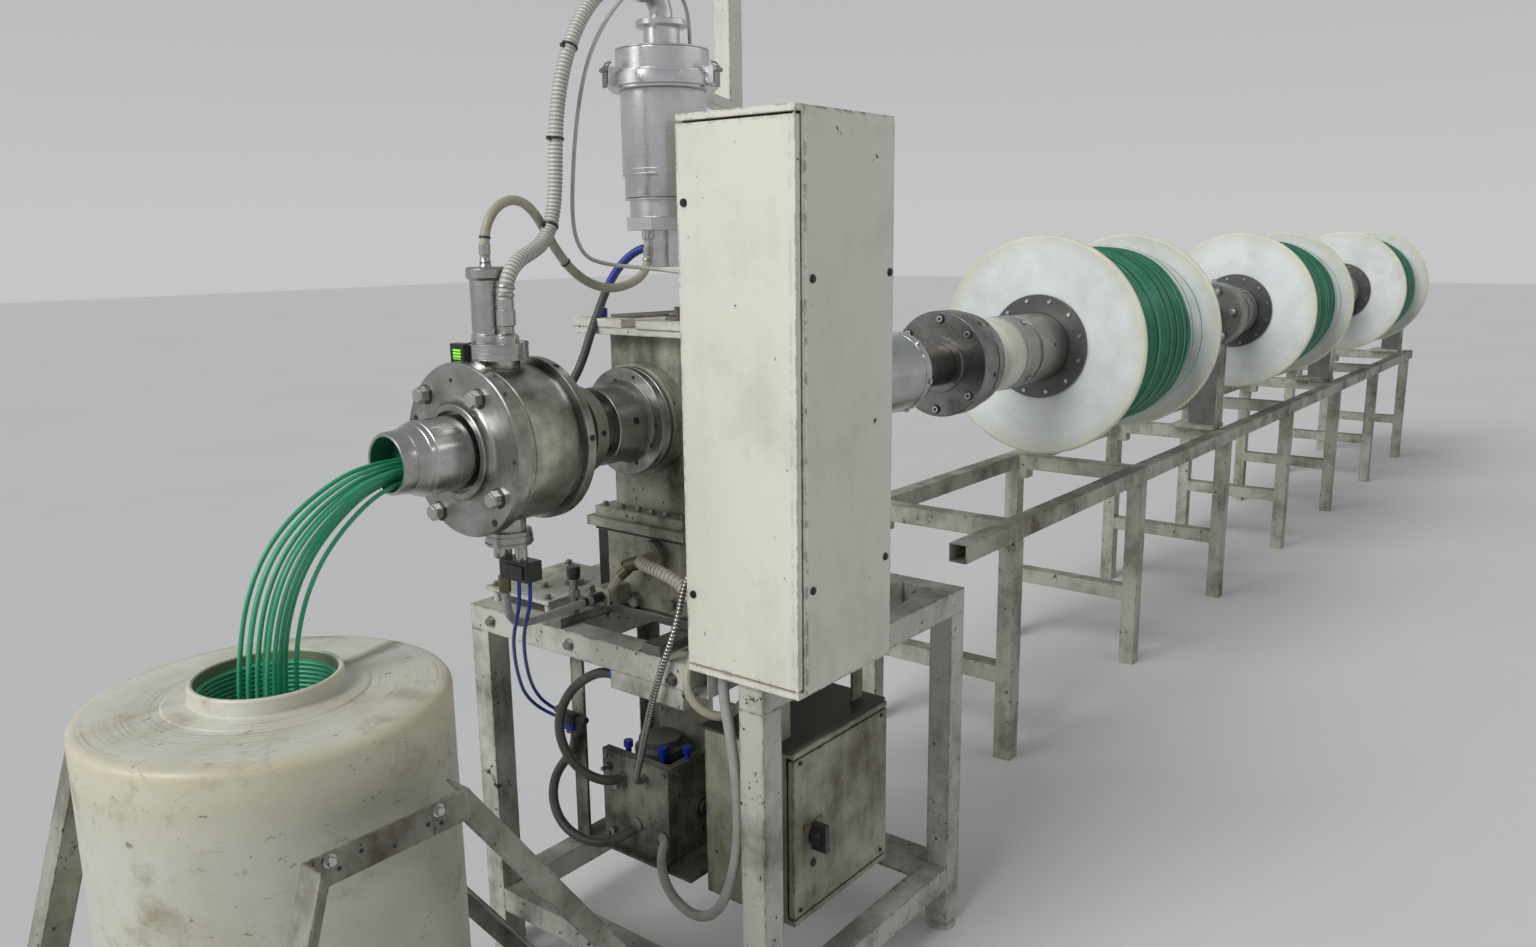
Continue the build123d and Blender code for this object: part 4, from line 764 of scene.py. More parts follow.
build("panel_fittings", valve_steel, "ground_steel",
      *((add_rod, (0.090 - reach, y, z), (0.0905, y, z), radius) for y, z, reach, radius in (
          (0.041, 0.530, 0.016, 0.013), (0.041, 0.530, 0.028, 0.008),
          (0.082, 0.560, 0.014, 0.009), (0.082, 0.560, 0.026, 0.005),
          (0.072, 0.404, 0.012, 0.008), (-0.030, 0.558, 0.006, 0.0115),
          (0.042, 0.542, 0.006, 0.0140), (-0.085, 0.430, 0.006, 0.0150),
          (-0.002, 0.440, 0.006, 0.0150))),
      *((add_bolt, (0.090, y, z), (-1, 0, 0), 0.009, 0.005, False) for y, z in (
          (-0.088, 0.582), (0.094, 0.582), (-0.088, 0.386), (0.094, 0.386), (0.0, 0.582))),
      *((add_bolt, (x, -0.100, z), (0, -1, 0), 0.009, 0.005, False)
        for z in (0.582, 0.386) for x in (0.120, 0.265)), width=0.0005)
air_caps = ((0.130, 0.060, 0.598), (0.160, -0.020, 0.590), (0.205, -0.055, 0.586))
build("air_caps", cap_blue, "hose_blue",
      *((add_rod, (x, y, z), (x, y, z + 0.016), 0.011) for x, y, z in air_caps),
      *((add_rod, (x, y, z - 0.030), (x, y, z), 0.007) for x, y, z in air_caps),
      (add_box, (0.030, 0.138, 0.648), (0.0436, 0.182, 0.662)), width=0.001)
build("tee_body", knob_black, "black_plastic",
      (add_box, (0.028, 0.134, 0.664), (0.052, 0.180, 0.688)),
      (add_rod, (0.040, 0.180, 0.676), (0.040, 0.200, 0.690), 0.009),
      (add_rod, (0.040, 0.100, 0.682), (0.040, 0.136, 0.676), 0.008), width=0.0015)

# Bearing barrel, spindle, coupling disc and cone spacer
# The long hollow spindle leaves the fixed barrel and carries a bolted steel disc, a
# stepped white plastic spacer and the reel hubs.
barrel_steel = steel("barrel_steel", (0.50, 0.51, 0.50), (0.24, 0.24, 0.22), 0.5, 0.14,
                     bump=0.05)
soften(barrel_steel, 0.002, "bearing_barrel")
build("barrel_fittings", barrel_steel, "polished_steel", (add_turned, [
    (1.168, 0.108), (1.168, 0.1132), (1.172, 0.1140), (1.200, 0.1140), (1.2048, 0.1115),
    (1.2048, 0.108)]),
    *((add_rod, spoke(1.186, angle, 0.112)[0], spoke(1.186, angle, 0.119)[0], 0.008, 6)
      for angle in range(40, 360, 60)), width=0.0006)
spindle_steel = steel("spindle_steel", (0.20, 0.19, 0.18), (0.08, 0.07, 0.06), 0.6, 0.25)
soften(spindle_steel, 0.001, "spindle")
disc_steel = steel("disc_steel", (0.27, 0.265, 0.255), (0.09, 0.085, 0.075), 0.9, 0.22)
build("disc", disc_steel, "ground_steel", (add_turned, [
    (1.422, 0.0623), (1.422, 0.084), (1.424, 0.086), (1.430, 0.086), (1.430, 0.157),
    (1.433, 0.160), (1.505, 0.160), (1.507, 0.1575), (1.507, 0.1505), (1.514, 0.1485),
    (1.515, 0.151), (1.526, 0.151), (1.527, 0.1475), (1.534, 0.1475), (1.535, 0.151),
    (1.560, 0.151), (1.573, 0.149), (1.578, 0.145), (1.578, 0.0623)]),
    body="rotor", replaces=["coupling_disc"], width=0.0008)


def add_pin(bm, start, end, radius, angle, reach, sides=24):
    """Bar that lies along the spindle, beside its axis."""
    add_rod(bm, spoke(start, angle, reach)[0], spoke(end, angle, reach)[0], radius, sides)


def add_stud(bm, x, angle, low, high, radius):
    """Bar that stands out from the spindle's axis."""
    add_rod(bm, spoke(x, angle, low)[0], spoke(x, angle, high)[0], radius)


disc_screws = (2, 46, 130, 182, 226, 310)
build("disc_bolts", bright_bolt, "polished_steel",
      *((add_pin, 1.4205, 1.430, 0.0100, angle, 0.137) for angle in disc_screws),
      body="rotor", width=0.0008)
# Painted shade: near-black rings and plugs stand for the disc's bolt recesses, sockets and
# holes.
build("disc_recess_shades", black_parts_and_hole_shade, "dark_steel",
      *((add_pin, 1.4294, 1.431, 0.0140, angle, 0.137) for angle in disc_screws),
      *((add_pin, 1.4199, 1.421, 0.0052, angle, 0.137, 6) for angle in disc_screws),
      *((add_pin, 1.4295, 1.431, 0.0040, angle, 0.140) for angle in (88, 268)),
      *((add_stud, x, angle, reach - 0.001, reach, size) for angle in range(40, 400, 60)
        for x, reach, size in ((1.490, 0.1604, 0.0085), (1.551, 0.1514, 0.0045))),
      body="rotor")
milky_plastic = plastic("milky_plastic", (0.66, 0.66, 0.58), (0.42, 0.40, 0.30), 0.6, 7.0, 0.33,
                        0.15, glow=0.25)
build("cone", milky_plastic, "white_plastic", (add_turned, [
    (1.578, 0.0623), (1.578, 0.098), (1.648, 0.099), (1.672, 0.101), (1.683, 0.104),
    (1.691, 0.1165), (1.695, 0.119), (1.786, 0.1195), (1.790, 0.117), (1.790, 0.0623)]),
    body="rotor", replaces=["cone_spacer"], width=0.001)

# Reels, hubs and windings
# Three moulded white reels run on steel hub tubes, each between two screwed plates. The
# green strand is wound on them turn beside turn, and its last turns have slipped.
REEL_LEFTS = (2.123, 4.359, 6.595)
HUB_STARTS = (1.790, 4.195, 6.431)
hub_steel = steel("hub_steel", (0.37, 0.355, 0.34), (0.19, 0.18, 0.16), 0.6, 0.34)
soften(hub_steel, 0.0015, "hub_tubes")
plate_steel = steel("plate_steel", (0.11, 0.112, 0.11), (0.20, 0.20, 0.19), 0.4, 0.40)
soften(plate_steel, 0.0015, "hub_plates")
clamp_places = [(start + 0.066, angle) for start in HUB_STARTS for angle in (34, 130, 214, 310)]
build("clamp_bolts", bright_bolt, "polished_steel",
      *((add_stud, x, angle, 0.1212, 0.1247, 0.0070) for x, angle in clamp_places),
      body="rotor", width=0.0006)
# Painted shade: near-black rings and plugs stand for the counterbores and holes of the hub
# clamps.
build("clamp_recess_shades", black_parts_and_hole_shade, "dark_steel",
      *((add_stud, x, angle, 0.1182, 0.1216, 0.0115) for x, angle in clamp_places),
      *((add_stud, start + 0.215, angle, 0.1142, 0.1174, 0.0060)
        for start in HUB_STARTS for angle in (80, 260)), body="rotor")


def reel_profile(left):
    """Outline of one reel: two thick flanges with round rims on a thin barrel."""
    low, high, right_side = left + 0.024, left + 0.776, left + 0.800
    return [(left, 0.120), (left, 0.373), (left + 0.007, 0.380), (low - 0.007, 0.380),
            (low, 0.373), (low, 0.190), (high, 0.190), (high, 0.373), (high + 0.007, 0.380),
            (right_side - 0.007, 0.380), (right_side, 0.373), (right_side, 0.120),
            (high, 0.120), (high, 0.178), (low, 0.178), (low, 0.120)]


# The grey-green soil is partly real smudges and partly painted shade and floor reflection of
# the reels' lower faces.
reel_white = plastic("reel_white", None, (0.40, 0.43, 0.37), 0.6, 3.5, 0.32, 0.12, glow=0.25)
reel_tree = reel_white.node_tree
reel_place = shader(reel_tree, "Mapping", {
    "Vector": object_place(reel_tree), "Location": (0.0, -LINE_START.y, -SHAFT),
    "Scale": (0.0, 1.0, 1.0)})
rim_share = spread(vector_maths("LENGTH", reel_place) + noise_value(reel_place, 5.0) * 0.05,
                   0.350, 0.412)
feed(reel_tree.nodes["Group"], {
    "Clean": mix_colour(rim_share, (0.76, 0.79, 0.79), (0.66, 0.65, 0.50))})
build("reel_flanges", reel_white, "reel_plastic",
      *((add_turned, reel_profile(left), "X", (0.0, 0.0, SHAFT), 128) for left in REEL_LEFTS),
      body="rotor", replaces=["reels"], width=0.0025)
build("plate_screws", bright_bolt, "polished_steel",
      *((add_bolt, spoke(x, angle, 0.160)[0], (way, 0, 0), 0.013, 0.007, False)
        for left in REEL_LEFTS for angle in range(15, 375, 30)
        for x, way in ((left - 0.014, -1), (left + 0.814, 1))), body="rotor")
strand_green = plastic("strand_green", (0.050, 0.40, 0.215), (0.018, 0.22, 0.115), 0.7, 9.0,
                       0.24, 0.1, 0.0006)
wound_green = plastic("wound_green", None, (0.008, 0.085, 0.045), 0.6, 9.0, 0.30, 0.1, 0.0006)
wound_tree = wound_green.node_tree
turn_tone = noise_value(object_place(wound_tree), 1.0, 3.0, 0.6, (75.0, 1.6, 1.6))
feed(wound_tree.nodes["Group"], {
    "Clean": mix_colour(spread(turn_tone, 0.36, 0.64), (0.014, 0.135, 0.070),
                        (0.030, 0.27, 0.140))})
STRAND_PITCH = 0.0083
WOUND_RADIUS, CORE_RADIUS = 0.330, 0.191
SLOPE, SLOPE_DROP = 0.045, 0.026  # the last turns lie lower towards the open end
GROOVES = {5, 14, 23, 24, 31, 38, 47, 49, 58, 63}  # turns that have sunk between others
windings = bmesh.new()
for number, left in enumerate(REEL_LEFTS):
    start, end = left + 0.0243, left + 0.6256
    profile = [(start, CORE_RADIUS), (start, WOUND_RADIUS)]
    for index in range(int((end - start) / STRAND_PITCH)):
        x = start + STRAND_PITCH * (index + 0.5)
        drop = max(0.0, (x - (end - SLOPE)) / SLOPE) * SLOPE_DROP
        sunk = 0.0100 if (index + 5 * number) % 72 in GROOVES else 0.0
        for share in (0.0, 0.18, 0.5, 0.82):
            rise = math.sin(math.pi * share) * 0.0042
            profile.append((x + (share - 0.5) * STRAND_PITCH,
                            WOUND_RADIUS - drop - sunk + rise))
    profile += [(end, WOUND_RADIUS - SLOPE_DROP), (end, CORE_RADIUS)]
    seen = set(windings.verts)
    add_turned(windings, profile, steps=144)
    for vert in windings.verts:
        reach = Vector((0.0, vert.co.y, vert.co.z - SHAFT))
        if vert in seen or reach.length <= 0.28:
            continue
        way = reach.normalized()
        where = Vector((vert.co.x * 9.0 + number * 7.0, way.y * 1.6, way.z * 1.6))
        vert.co += way * (noise.noise(where) * 0.0045 - 0.002)
        if start + 0.02 < vert.co.x < end - 0.02:
            vert.co.x += noise.noise(where * 1.7 + Vector((5.0, 3.0, 1.0))) * 0.012
finish("wound_strand", windings, wound_green, "strand_green", "rotor", ["windings"],
       turn_over=80.0)


def add_loop(bm, centre, tall, wide, lean, swing, thick=0.0041, around=72, sides=8):
    """Closed turn of strand round the spindle, leaning a little."""
    before = set(bm.verts)
    circle = bmesh.ops.create_circle(bm, segments=sides, radius=thick,
                                     matrix=Matrix.Translation((0.0, 0.0, 1.0)))["verts"]
    ring = [edge for edge in bm.edges if edge.verts[0] in circle and edge.verts[1] in circle]
    bmesh.ops.spin(bm, geom=circle + ring, cent=(0, 0, 0), axis=(1, 0, 0), angle=math.tau,
                   steps=around, use_merge=True)
    made = [vert for vert in bm.verts if vert not in before]
    bmesh.ops.remove_doubles(bm, verts=made, dist=SAME_PLACE)
    for vert in bm.verts:
        if vert in before:
            continue
        reach = math.hypot(vert.co.y, vert.co.z)
        angle = math.atan2(vert.co.y, vert.co.z)
        radius = tall + (wide - tall) * math.sin(angle) ** 2 + (reach - 1.0)
        shift = lean * math.sin(angle + swing) + 0.25 * lean * math.sin(3 * angle + swing)
        vert.co = Vector((centre + vert.co.x + shift, radius * math.sin(angle),
                          SHAFT + radius * math.cos(angle)))


loose_turns = bmesh.new()
for number, left in enumerate(REEL_LEFTS):
    for index, (place, lean) in enumerate((
            (0.082, 0.020), (0.128, 0.006), (0.226, 0.034), (0.258, 0.012), (0.371, 0.022),
            (0.403, 0.040), (0.505, 0.010), (0.560, 0.024), (0.585, 0.008))):
        add_loop(loose_turns, left + place, 0.3360 + 0.0012 * (index % 3), 0.3378,
                 lean, index * 1.9 + number)
    add_loop(loose_turns, left + 0.634, 0.302, 0.304, 0.005, 1.1 + number)
    add_loop(loose_turns, left + 0.676, 0.312, 0.334, 0.040, 2.6 + number * 0.7, 0.0052)
finish("loose_turns", loose_turns, wound_green, "strand_green", "rotor", ["windings"],
       turn_over=80.0)

# Reel stand and spindle bearings
# Two long rails of square tube on seven trestles beside the spindle, and enamelled
# bearing posts on the near rail that hold the spindle between the reels.
POST_STARTS = (3.930, 6.166, 8.402)
STEEL_FROM = 1.23  # the posts are bare steel above this height
stand_paint = paint("stand_paint", (0.46, 0.47, 0.39), (0.12, 0.105, 0.07), 1.0, 1.0, 0.42,
                    0.03, bump=0.4)
soften(stand_paint, 0.003, "stand_rails", "stand_trestles")
bearing_posts = soften(greasy_cream, 0.003, "spindle_bearings")
bearing_posts.data.materials.append(
    steel("bearing_steel", (0.24, 0.235, 0.225), (0.10, 0.095, 0.08), 0.8, 0.30))
for face in bearing_posts.data.polygons:
    if face.center.z > STEEL_FROM:
        face.material_index = 1
build("bearing_bolts", bright_bolt, "polished_steel",
      *((add_bolt, spoke(x, angle, 0.118)[0], (way, 0, 0), 0.019, 0.012)
        for start in POST_STARTS for angle in range(20, 380, 60)
        for x, way in ((start, -1), (start + 0.160, 1))),
      *((add_rod, (start + 0.080, 0.0, 1.512), (start + 0.080, 0.0, 1.536), 0.012, 6)
        for start in POST_STARTS), width=0.0006)

# Suction canister
# Polished stainless cyclone on a painted post. A clamp ring with three lugs joins cap
# and body, and the flange below it carries the return nozzle.
canister_centre = (0.245, 0.0, 0.0)
canister_steel = steel("canister_steel", (0.65, 0.65, 0.665), (0.40, 0.395, 0.39), 0.7, 0.25,
                       axis=(0.0, 0.0, 1.0), centre=canister_centre, bump=0.03)
soften(canister_steel, 0.0012, "canister_body", "canister_ring", "canister_cap")
soften(shelf_cream, 0.003, "canister_post")
build("canister_bands", canister_steel, "polished_steel",
      *((add_ring, low, high, reach - 0.012, reach, canister_centre, 72)
        for low, high, reach in ((1.8835, 1.886, 0.0925), (1.893, 1.8955, 0.0925),
                                 (1.832, 1.835, 0.0885), (2.086, 2.089, 0.1125),
                                 (2.136, 2.1385, 0.0985))), width=0.0004)


def add_catch(bm, angle):
    """Over-centre catch: lever plate, its pin and the wire bow over the ring."""
    seen = set(bm.verts)
    add_box(bm, (0.1315, -0.009, 2.056), (0.1350, 0.009, 2.098))
    add_rod(bm, (0.1350, -0.014, 2.091), (0.1350, 0.014, 2.091), 0.0045)
    for side in (-0.012, 0.012):
        add_rod(bm, (0.1360, side, 2.092), (0.1240, side, 2.1065), 0.0018, 10)
    add_rod(bm, (0.1240, -0.012, 2.1065), (0.1240, 0.012, 2.1065), 0.0018, 10)
    bmesh.ops.transform(bm, verts=[vert for vert in bm.verts if vert not in seen],
                        matrix=Matrix.Translation(canister_centre)
                        @ Matrix.Rotation(math.radians(angle), 4, "Z"))


build("catches", valve_steel, "ground_steel", (add_catch, 160), (add_catch, 280),
      (add_catch, 40), width=0.0004)

# Receiving drum
# Thick drum of natural plastic with a rounded shoulder and a collared mouth. It is
# yellowed, scratched and stained, with painted shade on its sides and inside its collar,
# and the strand coils up inside it.
drum_plastic = plastic("drum_plastic", (0.76, 0.77, 0.69), (0.44, 0.40, 0.27), 0.8, 4.0, 0.34,
                       0.35, 0.002, 0.2)
drum_centre = (-0.740, 0.0, 0.0)
drum_tree = drum_plastic.node_tree
drum_spot = shader(drum_tree, "Mapping", {
    "Vector": object_place(drum_tree), "Location": -(LINE_START + Vector(drum_centre))})
drum_reach = vector_maths("LENGTH", vector_maths("MULTIPLY", drum_spot, (1.0, 1.0, 0.0)))
drum_height = shader(drum_tree, "SeparateXYZ", {"Vector": drum_spot})["Z"]
on_top = spread(drum_height, 1.020, 1.030)
rings = noise_value(shader(drum_tree, "CombineXYZ", {0: drum_reach}), 130.0, 3.0, 0.7)
broken = spread(noise_value(drum_spot, 9.0, 5.0, 0.6), 0.45, 0.66)
scratches = noise_value(drum_spot, 1.0, 6.0, 0.75, (26.0, 26.0, 60.0))
smudges = noise_value(drum_spot, 7.0, 8.0, 0.7)
streak_start = shader(drum_tree, "Mapping", {"Vector": drum_spot,
                                             "Location": (-0.121, 0.002, -1.033)})
streak_place = shader(drum_tree, "SeparateXYZ", {"Vector": shader(
    drum_tree, "VectorRotate", {"Vector": streak_start, "Angle": math.radians(-15.0)},
    rotation_type="Z_AXIS")})
streak = (spread(abs(streak_place["Y"]) + noise_value(drum_spot, 22.0) * 0.02, 0.034, 0.014)
          * spread(streak_place["X"], -0.01, 0.01))
for colour, mask in (
        ((0.30, 0.25, 0.15), spread(rings, 0.50, 0.64) * broken * (on_top * 0.75)),
        # painted shade: the side wall darker than the top, more so lower down
        ((0.40, 0.41, 0.33), spread(drum_reach, 0.270, 0.286)
         * spread(drum_height, 1.020, 0.960, 0.0, 0.55)),
        ((0.58, 0.52, 0.32), spread(drum_height, 0.900, 1.015)
         * spread(drum_reach, 0.262, 0.285, 0.0, 0.55)),
        ((0.20, 0.15, 0.08), spread(scratches, 0.625, 0.655, 0.0, 0.75)),
        ((0.26, 0.21, 0.12), spread(smudges, 0.56, 0.70, 0.0, 0.65)),
        ((0.20, 0.18, 0.09), streak * (on_top * 0.85)),
        # painted shade, dark green, inside the collar below its lip
        ((0.16, 0.20, 0.10), spread(drum_reach, 0.1135, 0.1105)
         * spread(drum_height, 1.066, 1.060) * 0.9)):
    stain_over(drum_plastic, colour, mask)
build("drum_shell", drum_plastic, "drum_plastic", (add_turned, [
    (0.062, 0.0), (0.062, 0.280), (0.072, 0.290), (1.014, 0.290), (1.021, 0.2885),
    (1.0265, 0.2845), (1.0295, 0.2785), (1.0310, 0.270), (1.0320, 0.200), (1.0325, 0.160),
    (1.0345, 0.158), (1.0355, 0.154), (1.036, 0.122), (1.038, 0.1195), (1.062, 0.119),
    (1.065, 0.1165), (1.065, 0.1125), (1.063, 0.110), (1.018, 0.110), (1.014, 0.278),
    (0.074, 0.278), (0.074, 0.0)], "Z", drum_centre, 128, False),
    replaces=["drum"], width=0.001)
coil_turns = [(0.930 + STRAND_PITCH * (index + share),
               0.1075 - 0.0045 * math.sin(math.pi * share))
              for index in range(14) for share in (0.0, 0.25, 0.5, 0.75)]
build("coil", strand_green, "strand_green", (add_turned, [
    (0.930, 0.0), *coil_turns, (1.0462, 0.1095), (1.000, 0.1095), (1.000, 0.272),
    (0.074, 0.272), (0.074, 0.0)], "Z", drum_centre, 72, False),
    replaces=["drum_coil"], turn_over=80.0)

# Drum stand
# Flat bars and leaning angle legs on both sides keep the drum in its place, and two
# channels under it raise it from the floor.
drum_stand_paint = paint("drum_stand_paint", (0.38, 0.38, 0.32), (0.08, 0.068, 0.045), 1.0,
                         1.0, 0.42, 0.05)
soften(drum_stand_paint, 0.0015, "drum_stand", "drum_channels")
build("stand_bolts", bright_bolt, "ground_steel",
      *((add_bolt, (x, side * 0.356, 0.909), (0, side, 0), 0.013, 0.008)
        for side in (-1, 1) for x in (-0.862, -0.681)))
# Painted shade: dark plugs stand for the holes in the stand's flat bars.
build("stand_hole_shades", black_parts_and_hole_shade, "dark_steel",
      *((add_hole, (x, side * 0.356, z), (0, side, 0), 0.0035)
        for side in (-1, 1) for x, z in (
            (-0.848, 0.890), (-0.812, 0.901), (-0.758, 0.884), (-0.700, 0.893),
            (-0.676, 0.886))))

# Falling strands
# Ten 8 mm strands leave the guide disc together, arch over the gap and drop through the
# collar on to the heap in the drum. They are soft and bright green.
def nurbs_line(name, points):
    """Curve of one smooth spline whose control points are the route."""
    curve = bpy.data.curves.new(name, "CURVE")
    curve.dimensions = "3D"
    curve.resolution_u = 16
    curve.use_fill_caps = True
    line = curve.splines.new("NURBS")
    line.points.add(len(points) - 1)
    for control, place in zip(line.points, points):
        control.co = (*(LINE_START + Vector(place)), 1.0)
    line.order_u = 3
    line.use_endpoint_u = True
    return put(name, curve)


def hang_cord(piece, node):
    """Hang the cord on the line's body and hide the CAD cord it stands for."""
    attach(piece, "line")
    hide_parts(node)


def round_cord(name, points, node, diameter, material):
    """Smooth cord or hose."""
    piece = nurbs_line(name, points)
    piece.data.bevel_depth = diameter / 2
    piece.data.bevel_resolution = 5
    piece.data.materials.append(material)
    hang_cord(piece, node)


OUTER_ROUTE = ((-0.445, 1.372), (-0.470, 1.372), (-0.512, 1.371), (-0.556, 1.364),
               (-0.599, 1.347), (-0.642, 1.324), (-0.680, 1.296), (-0.713, 1.262),
               (-0.738, 1.222), (-0.757, 1.176), (-0.770, 1.124), (-0.779, 1.068),
               (-0.784, 0.998), (-0.784, 0.930))
INNER_ROUTE = ((-0.445, 1.337), (-0.462, 1.337), (-0.496, 1.331), (-0.529, 1.319),
               (-0.560, 1.300), (-0.590, 1.277), (-0.618, 1.251), (-0.643, 1.221),
               (-0.664, 1.186), (-0.680, 1.148), (-0.692, 1.106), (-0.699, 1.058),
               (-0.703, 0.995), (-0.703, 0.930))
STRANDS = ((2, -12, 0.646), (2, 12, 0.646), (-8, -24, 0.616), (-8, 0, 0.616), (-8, 24, 0.616),
           (-17, -12, 0.588), (-17, 12, 0.588), (-25, 0, 0.564), (-33, -14, 0.540),
           (-33, 14, 0.540))  # height and side in mm from the disc's middle, length
for number, (drop, side, length) in enumerate(STRANDS):
    share = (2 - drop) / 35.0
    route = []
    for step, (outer, inner) in enumerate(zip(OUTER_ROUTE, INNER_ROUTE)):
        across = side / 1000 * (1.0 + (0.02 * min(step, 12) if step > 1 else 0.0))
        route.append((outer[0] + (inner[0] - outer[0]) * share, across,
                      outer[1] + (inner[1] - outer[1]) * share))
    round_cord("strand_%d" % (number + 1), route, "strands", 0.008,
               strand_green)

# Hoses and cables
# A ribbed suction hose climbs from the head to the canister and a beige hose comes back
# to it. The others feed the housing, the cabinets and the units under the table.
RING_STEPS = 4  # points of a hose's path between one ring and the next


def spline_points(route, gap):
    """Points a set gap apart along the spline that a route makes."""
    guide = nurbs_line("route_guide", route)
    mesh = bpy.data.meshes.new_from_object(guide)
    points = [vert.co.copy() for vert in mesh.vertices]
    bpy.data.meshes.remove(mesh)
    bpy.data.objects.remove(guide)
    walked = [0.0]
    for first, second in zip(points, points[1:]):
        walked.append(walked[-1] + (second - first).length)
    count = max(2, round(walked[-1] / gap))
    spaced = []
    index = 0
    for step in range(count + 1):
        target = walked[-1] * step / count
        while index < len(walked) - 2 and walked[index + 1] < target:
            index += 1
        share = (target - walked[index]) / (walked[index + 1] - walked[index])
        spaced.append(points[index].lerp(points[index + 1], share))
    return spaced


def ribbed_hose(name, points, node, diameter, material, pitch, depth):
    """Hose with rings along it, swept along its own smooth spline."""
    spaced = spline_points(points, pitch / RING_STEPS)
    curve = bpy.data.curves.new(name + "_sweep", "CURVE")
    curve.dimensions = "3D"
    curve.bevel_depth = diameter / 2
    curve.bevel_resolution = 4
    curve.use_fill_caps = True
    line = curve.splines.new("POLY")
    line.points.add(len(spaced) - 1)
    hollows = [0.5 - 0.5 * math.cos(math.tau * index / RING_STEPS)
               for index in range(len(spaced))]
    for control, place, hollow in zip(line.points, spaced, hollows):
        control.co = (*place, 1.0)
        control.radius = 1.0 - depth * hollow
    sweep = put(name + "_sweep", curve)
    mesh = bpy.data.meshes.new_from_object(sweep)
    bpy.data.objects.remove(sweep)
    mesh.name = name
    mesh.materials.clear()
    mesh.materials.append(material)
    around = len(mesh.vertices) // len(spaced)
    # The groove value marks where painted shade darkens the grooves between the rings.
    for index, mark in enumerate(mesh.attributes.new("groove", "FLOAT", "POINT").data):
        mark.value = 0.5 - 0.5 * math.cos(math.tau * (index // around) / RING_STEPS)
    mesh.shade_smooth()
    hang_cord(put(name, mesh), node)
    return spaced


def shade_hose_grooves(material, colour, share):
    """Paint shade into the grooves between the rings of a ribbed hose."""
    mark = shader(material.node_tree, "Attribute", attribute_name="groove")["Fac"]
    stain_over(material, colour, mark * share)


def add_band(bm, spaced, share, radius, wide):
    """Ring round a hose at a share of its length, set square to its spline."""
    index = min(len(spaced) - 2, int(share * (len(spaced) - 1)))
    middle = spaced[index] - LINE_START
    way = (spaced[index + 1] - spaced[index]).normalized()
    add_rod(bm, middle - way * wide / 2, middle + way * wide / 2, radius)


def share_at(spaced, height):
    """Share of its length at which a hose first passes a height."""
    passed = [index for index, (first, second) in enumerate(zip(spaced, spaced[1:]))
              if (first.z - height) * (second.z - height) <= 0]
    return passed[0] / (len(spaced) - 1)


pale_hose, suction_skin, beige_hose, grey_hose, dark_hose, blue_tube, air_skin = (
    plastic(*values) for values in (
        ("pale_hose", (0.56, 0.56, 0.51), (0.27, 0.255, 0.21), 0.7, 12.0, 0.40),
        ("suction_skin", (0.76, 0.75, 0.70), (0.38, 0.36, 0.29), 0.6, 12.0, 0.38),
        ("beige_hose", (0.46, 0.44, 0.34), (0.20, 0.17, 0.10), 0.7, 12.0, 0.40),
        ("grey_hose", (0.40, 0.40, 0.38), (0.18, 0.165, 0.14), 0.7, 12.0, 0.40),
        ("dark_hose", (0.055, 0.052, 0.048), (0.16, 0.14, 0.11), 0.7, 12.0, 0.42),
        ("blue_tube", (0.015, 0.04, 0.33), (0.05, 0.06, 0.12), 0.5, 14.0, 0.28, 0.1),
        ("air_skin", None, (0.13, 0.125, 0.115), 0.5, 12.0, 0.34)))
conduit_steel = steel("conduit_steel", (0.74, 0.73, 0.71), (0.42, 0.40, 0.36), 0.5, 0.22,
                      turned=0.0, bump=0.0)
air_tree = air_skin.node_tree
air_height = shader(air_tree, "SeparateXYZ", {"Vector": object_place(air_tree)})["Z"]
feed(air_tree.nodes["Group"], {
    "Clean": mix_colour(spread(air_height, 1.636, 1.644), (0.075, 0.085, 0.085),
                        (0.020, 0.055, 0.42))})
# Painted shade in the grooves of the ribbed hoses and the conduit.
shade_hose_grooves(suction_skin, (0.12, 0.115, 0.095), 0.75)
shade_hose_grooves(conduit_steel, (0.05, 0.045, 0.04), 0.95)
shade_hose_grooves(air_skin, (0.02, 0.02, 0.03), 0.5)
suction = ribbed_hose("suction_hose_ribbed", [
    (-0.2375, -0.037, 1.625), (-0.2375, -0.037, 1.66), (-0.222, -0.035, 1.694),
    (-0.192, -0.028, 1.716), (-0.152, -0.018, 1.729), (-0.116, -0.008, 1.744),
    (-0.09, -0.002, 1.772), (-0.075, 0.0, 1.812), (-0.068, 0.0, 1.866), (-0.064, 0.0, 1.93),
    (-0.056, 0.0, 1.996), (-0.04, 0.0, 2.062), (-0.014, 0.0, 2.124), (0.022, 0.0, 2.182),
    (0.068, 0.0, 2.228), (0.116, 0.0, 2.254), (0.159, 0.0, 2.254)],
    "suction_hose", 0.030, suction_skin, 0.0078, 0.12)
beige = ribbed_hose("port_hose_beige", [
    (-0.2295, 0.024, 1.722), (-0.2295, 0.024, 1.752), (-0.22, 0.024, 1.785),
    (-0.196, 0.025, 1.813), (-0.16, 0.026, 1.828), (-0.125, 0.027, 1.822),
    (-0.096, 0.028, 1.798), (-0.072, 0.028, 1.763), (-0.045, 0.028, 1.726),
    (-0.012, 0.026, 1.69), (0.028, 0.02, 1.663), (0.074, 0.012, 1.65), (0.118, 0.006, 1.654),
    (0.162, 0.002, 1.67), (0.185, 0.0, 1.7), (0.185, 0.0, 1.734)],
    "port_hose", 0.019, beige_hose, 0.0052, 0.035)
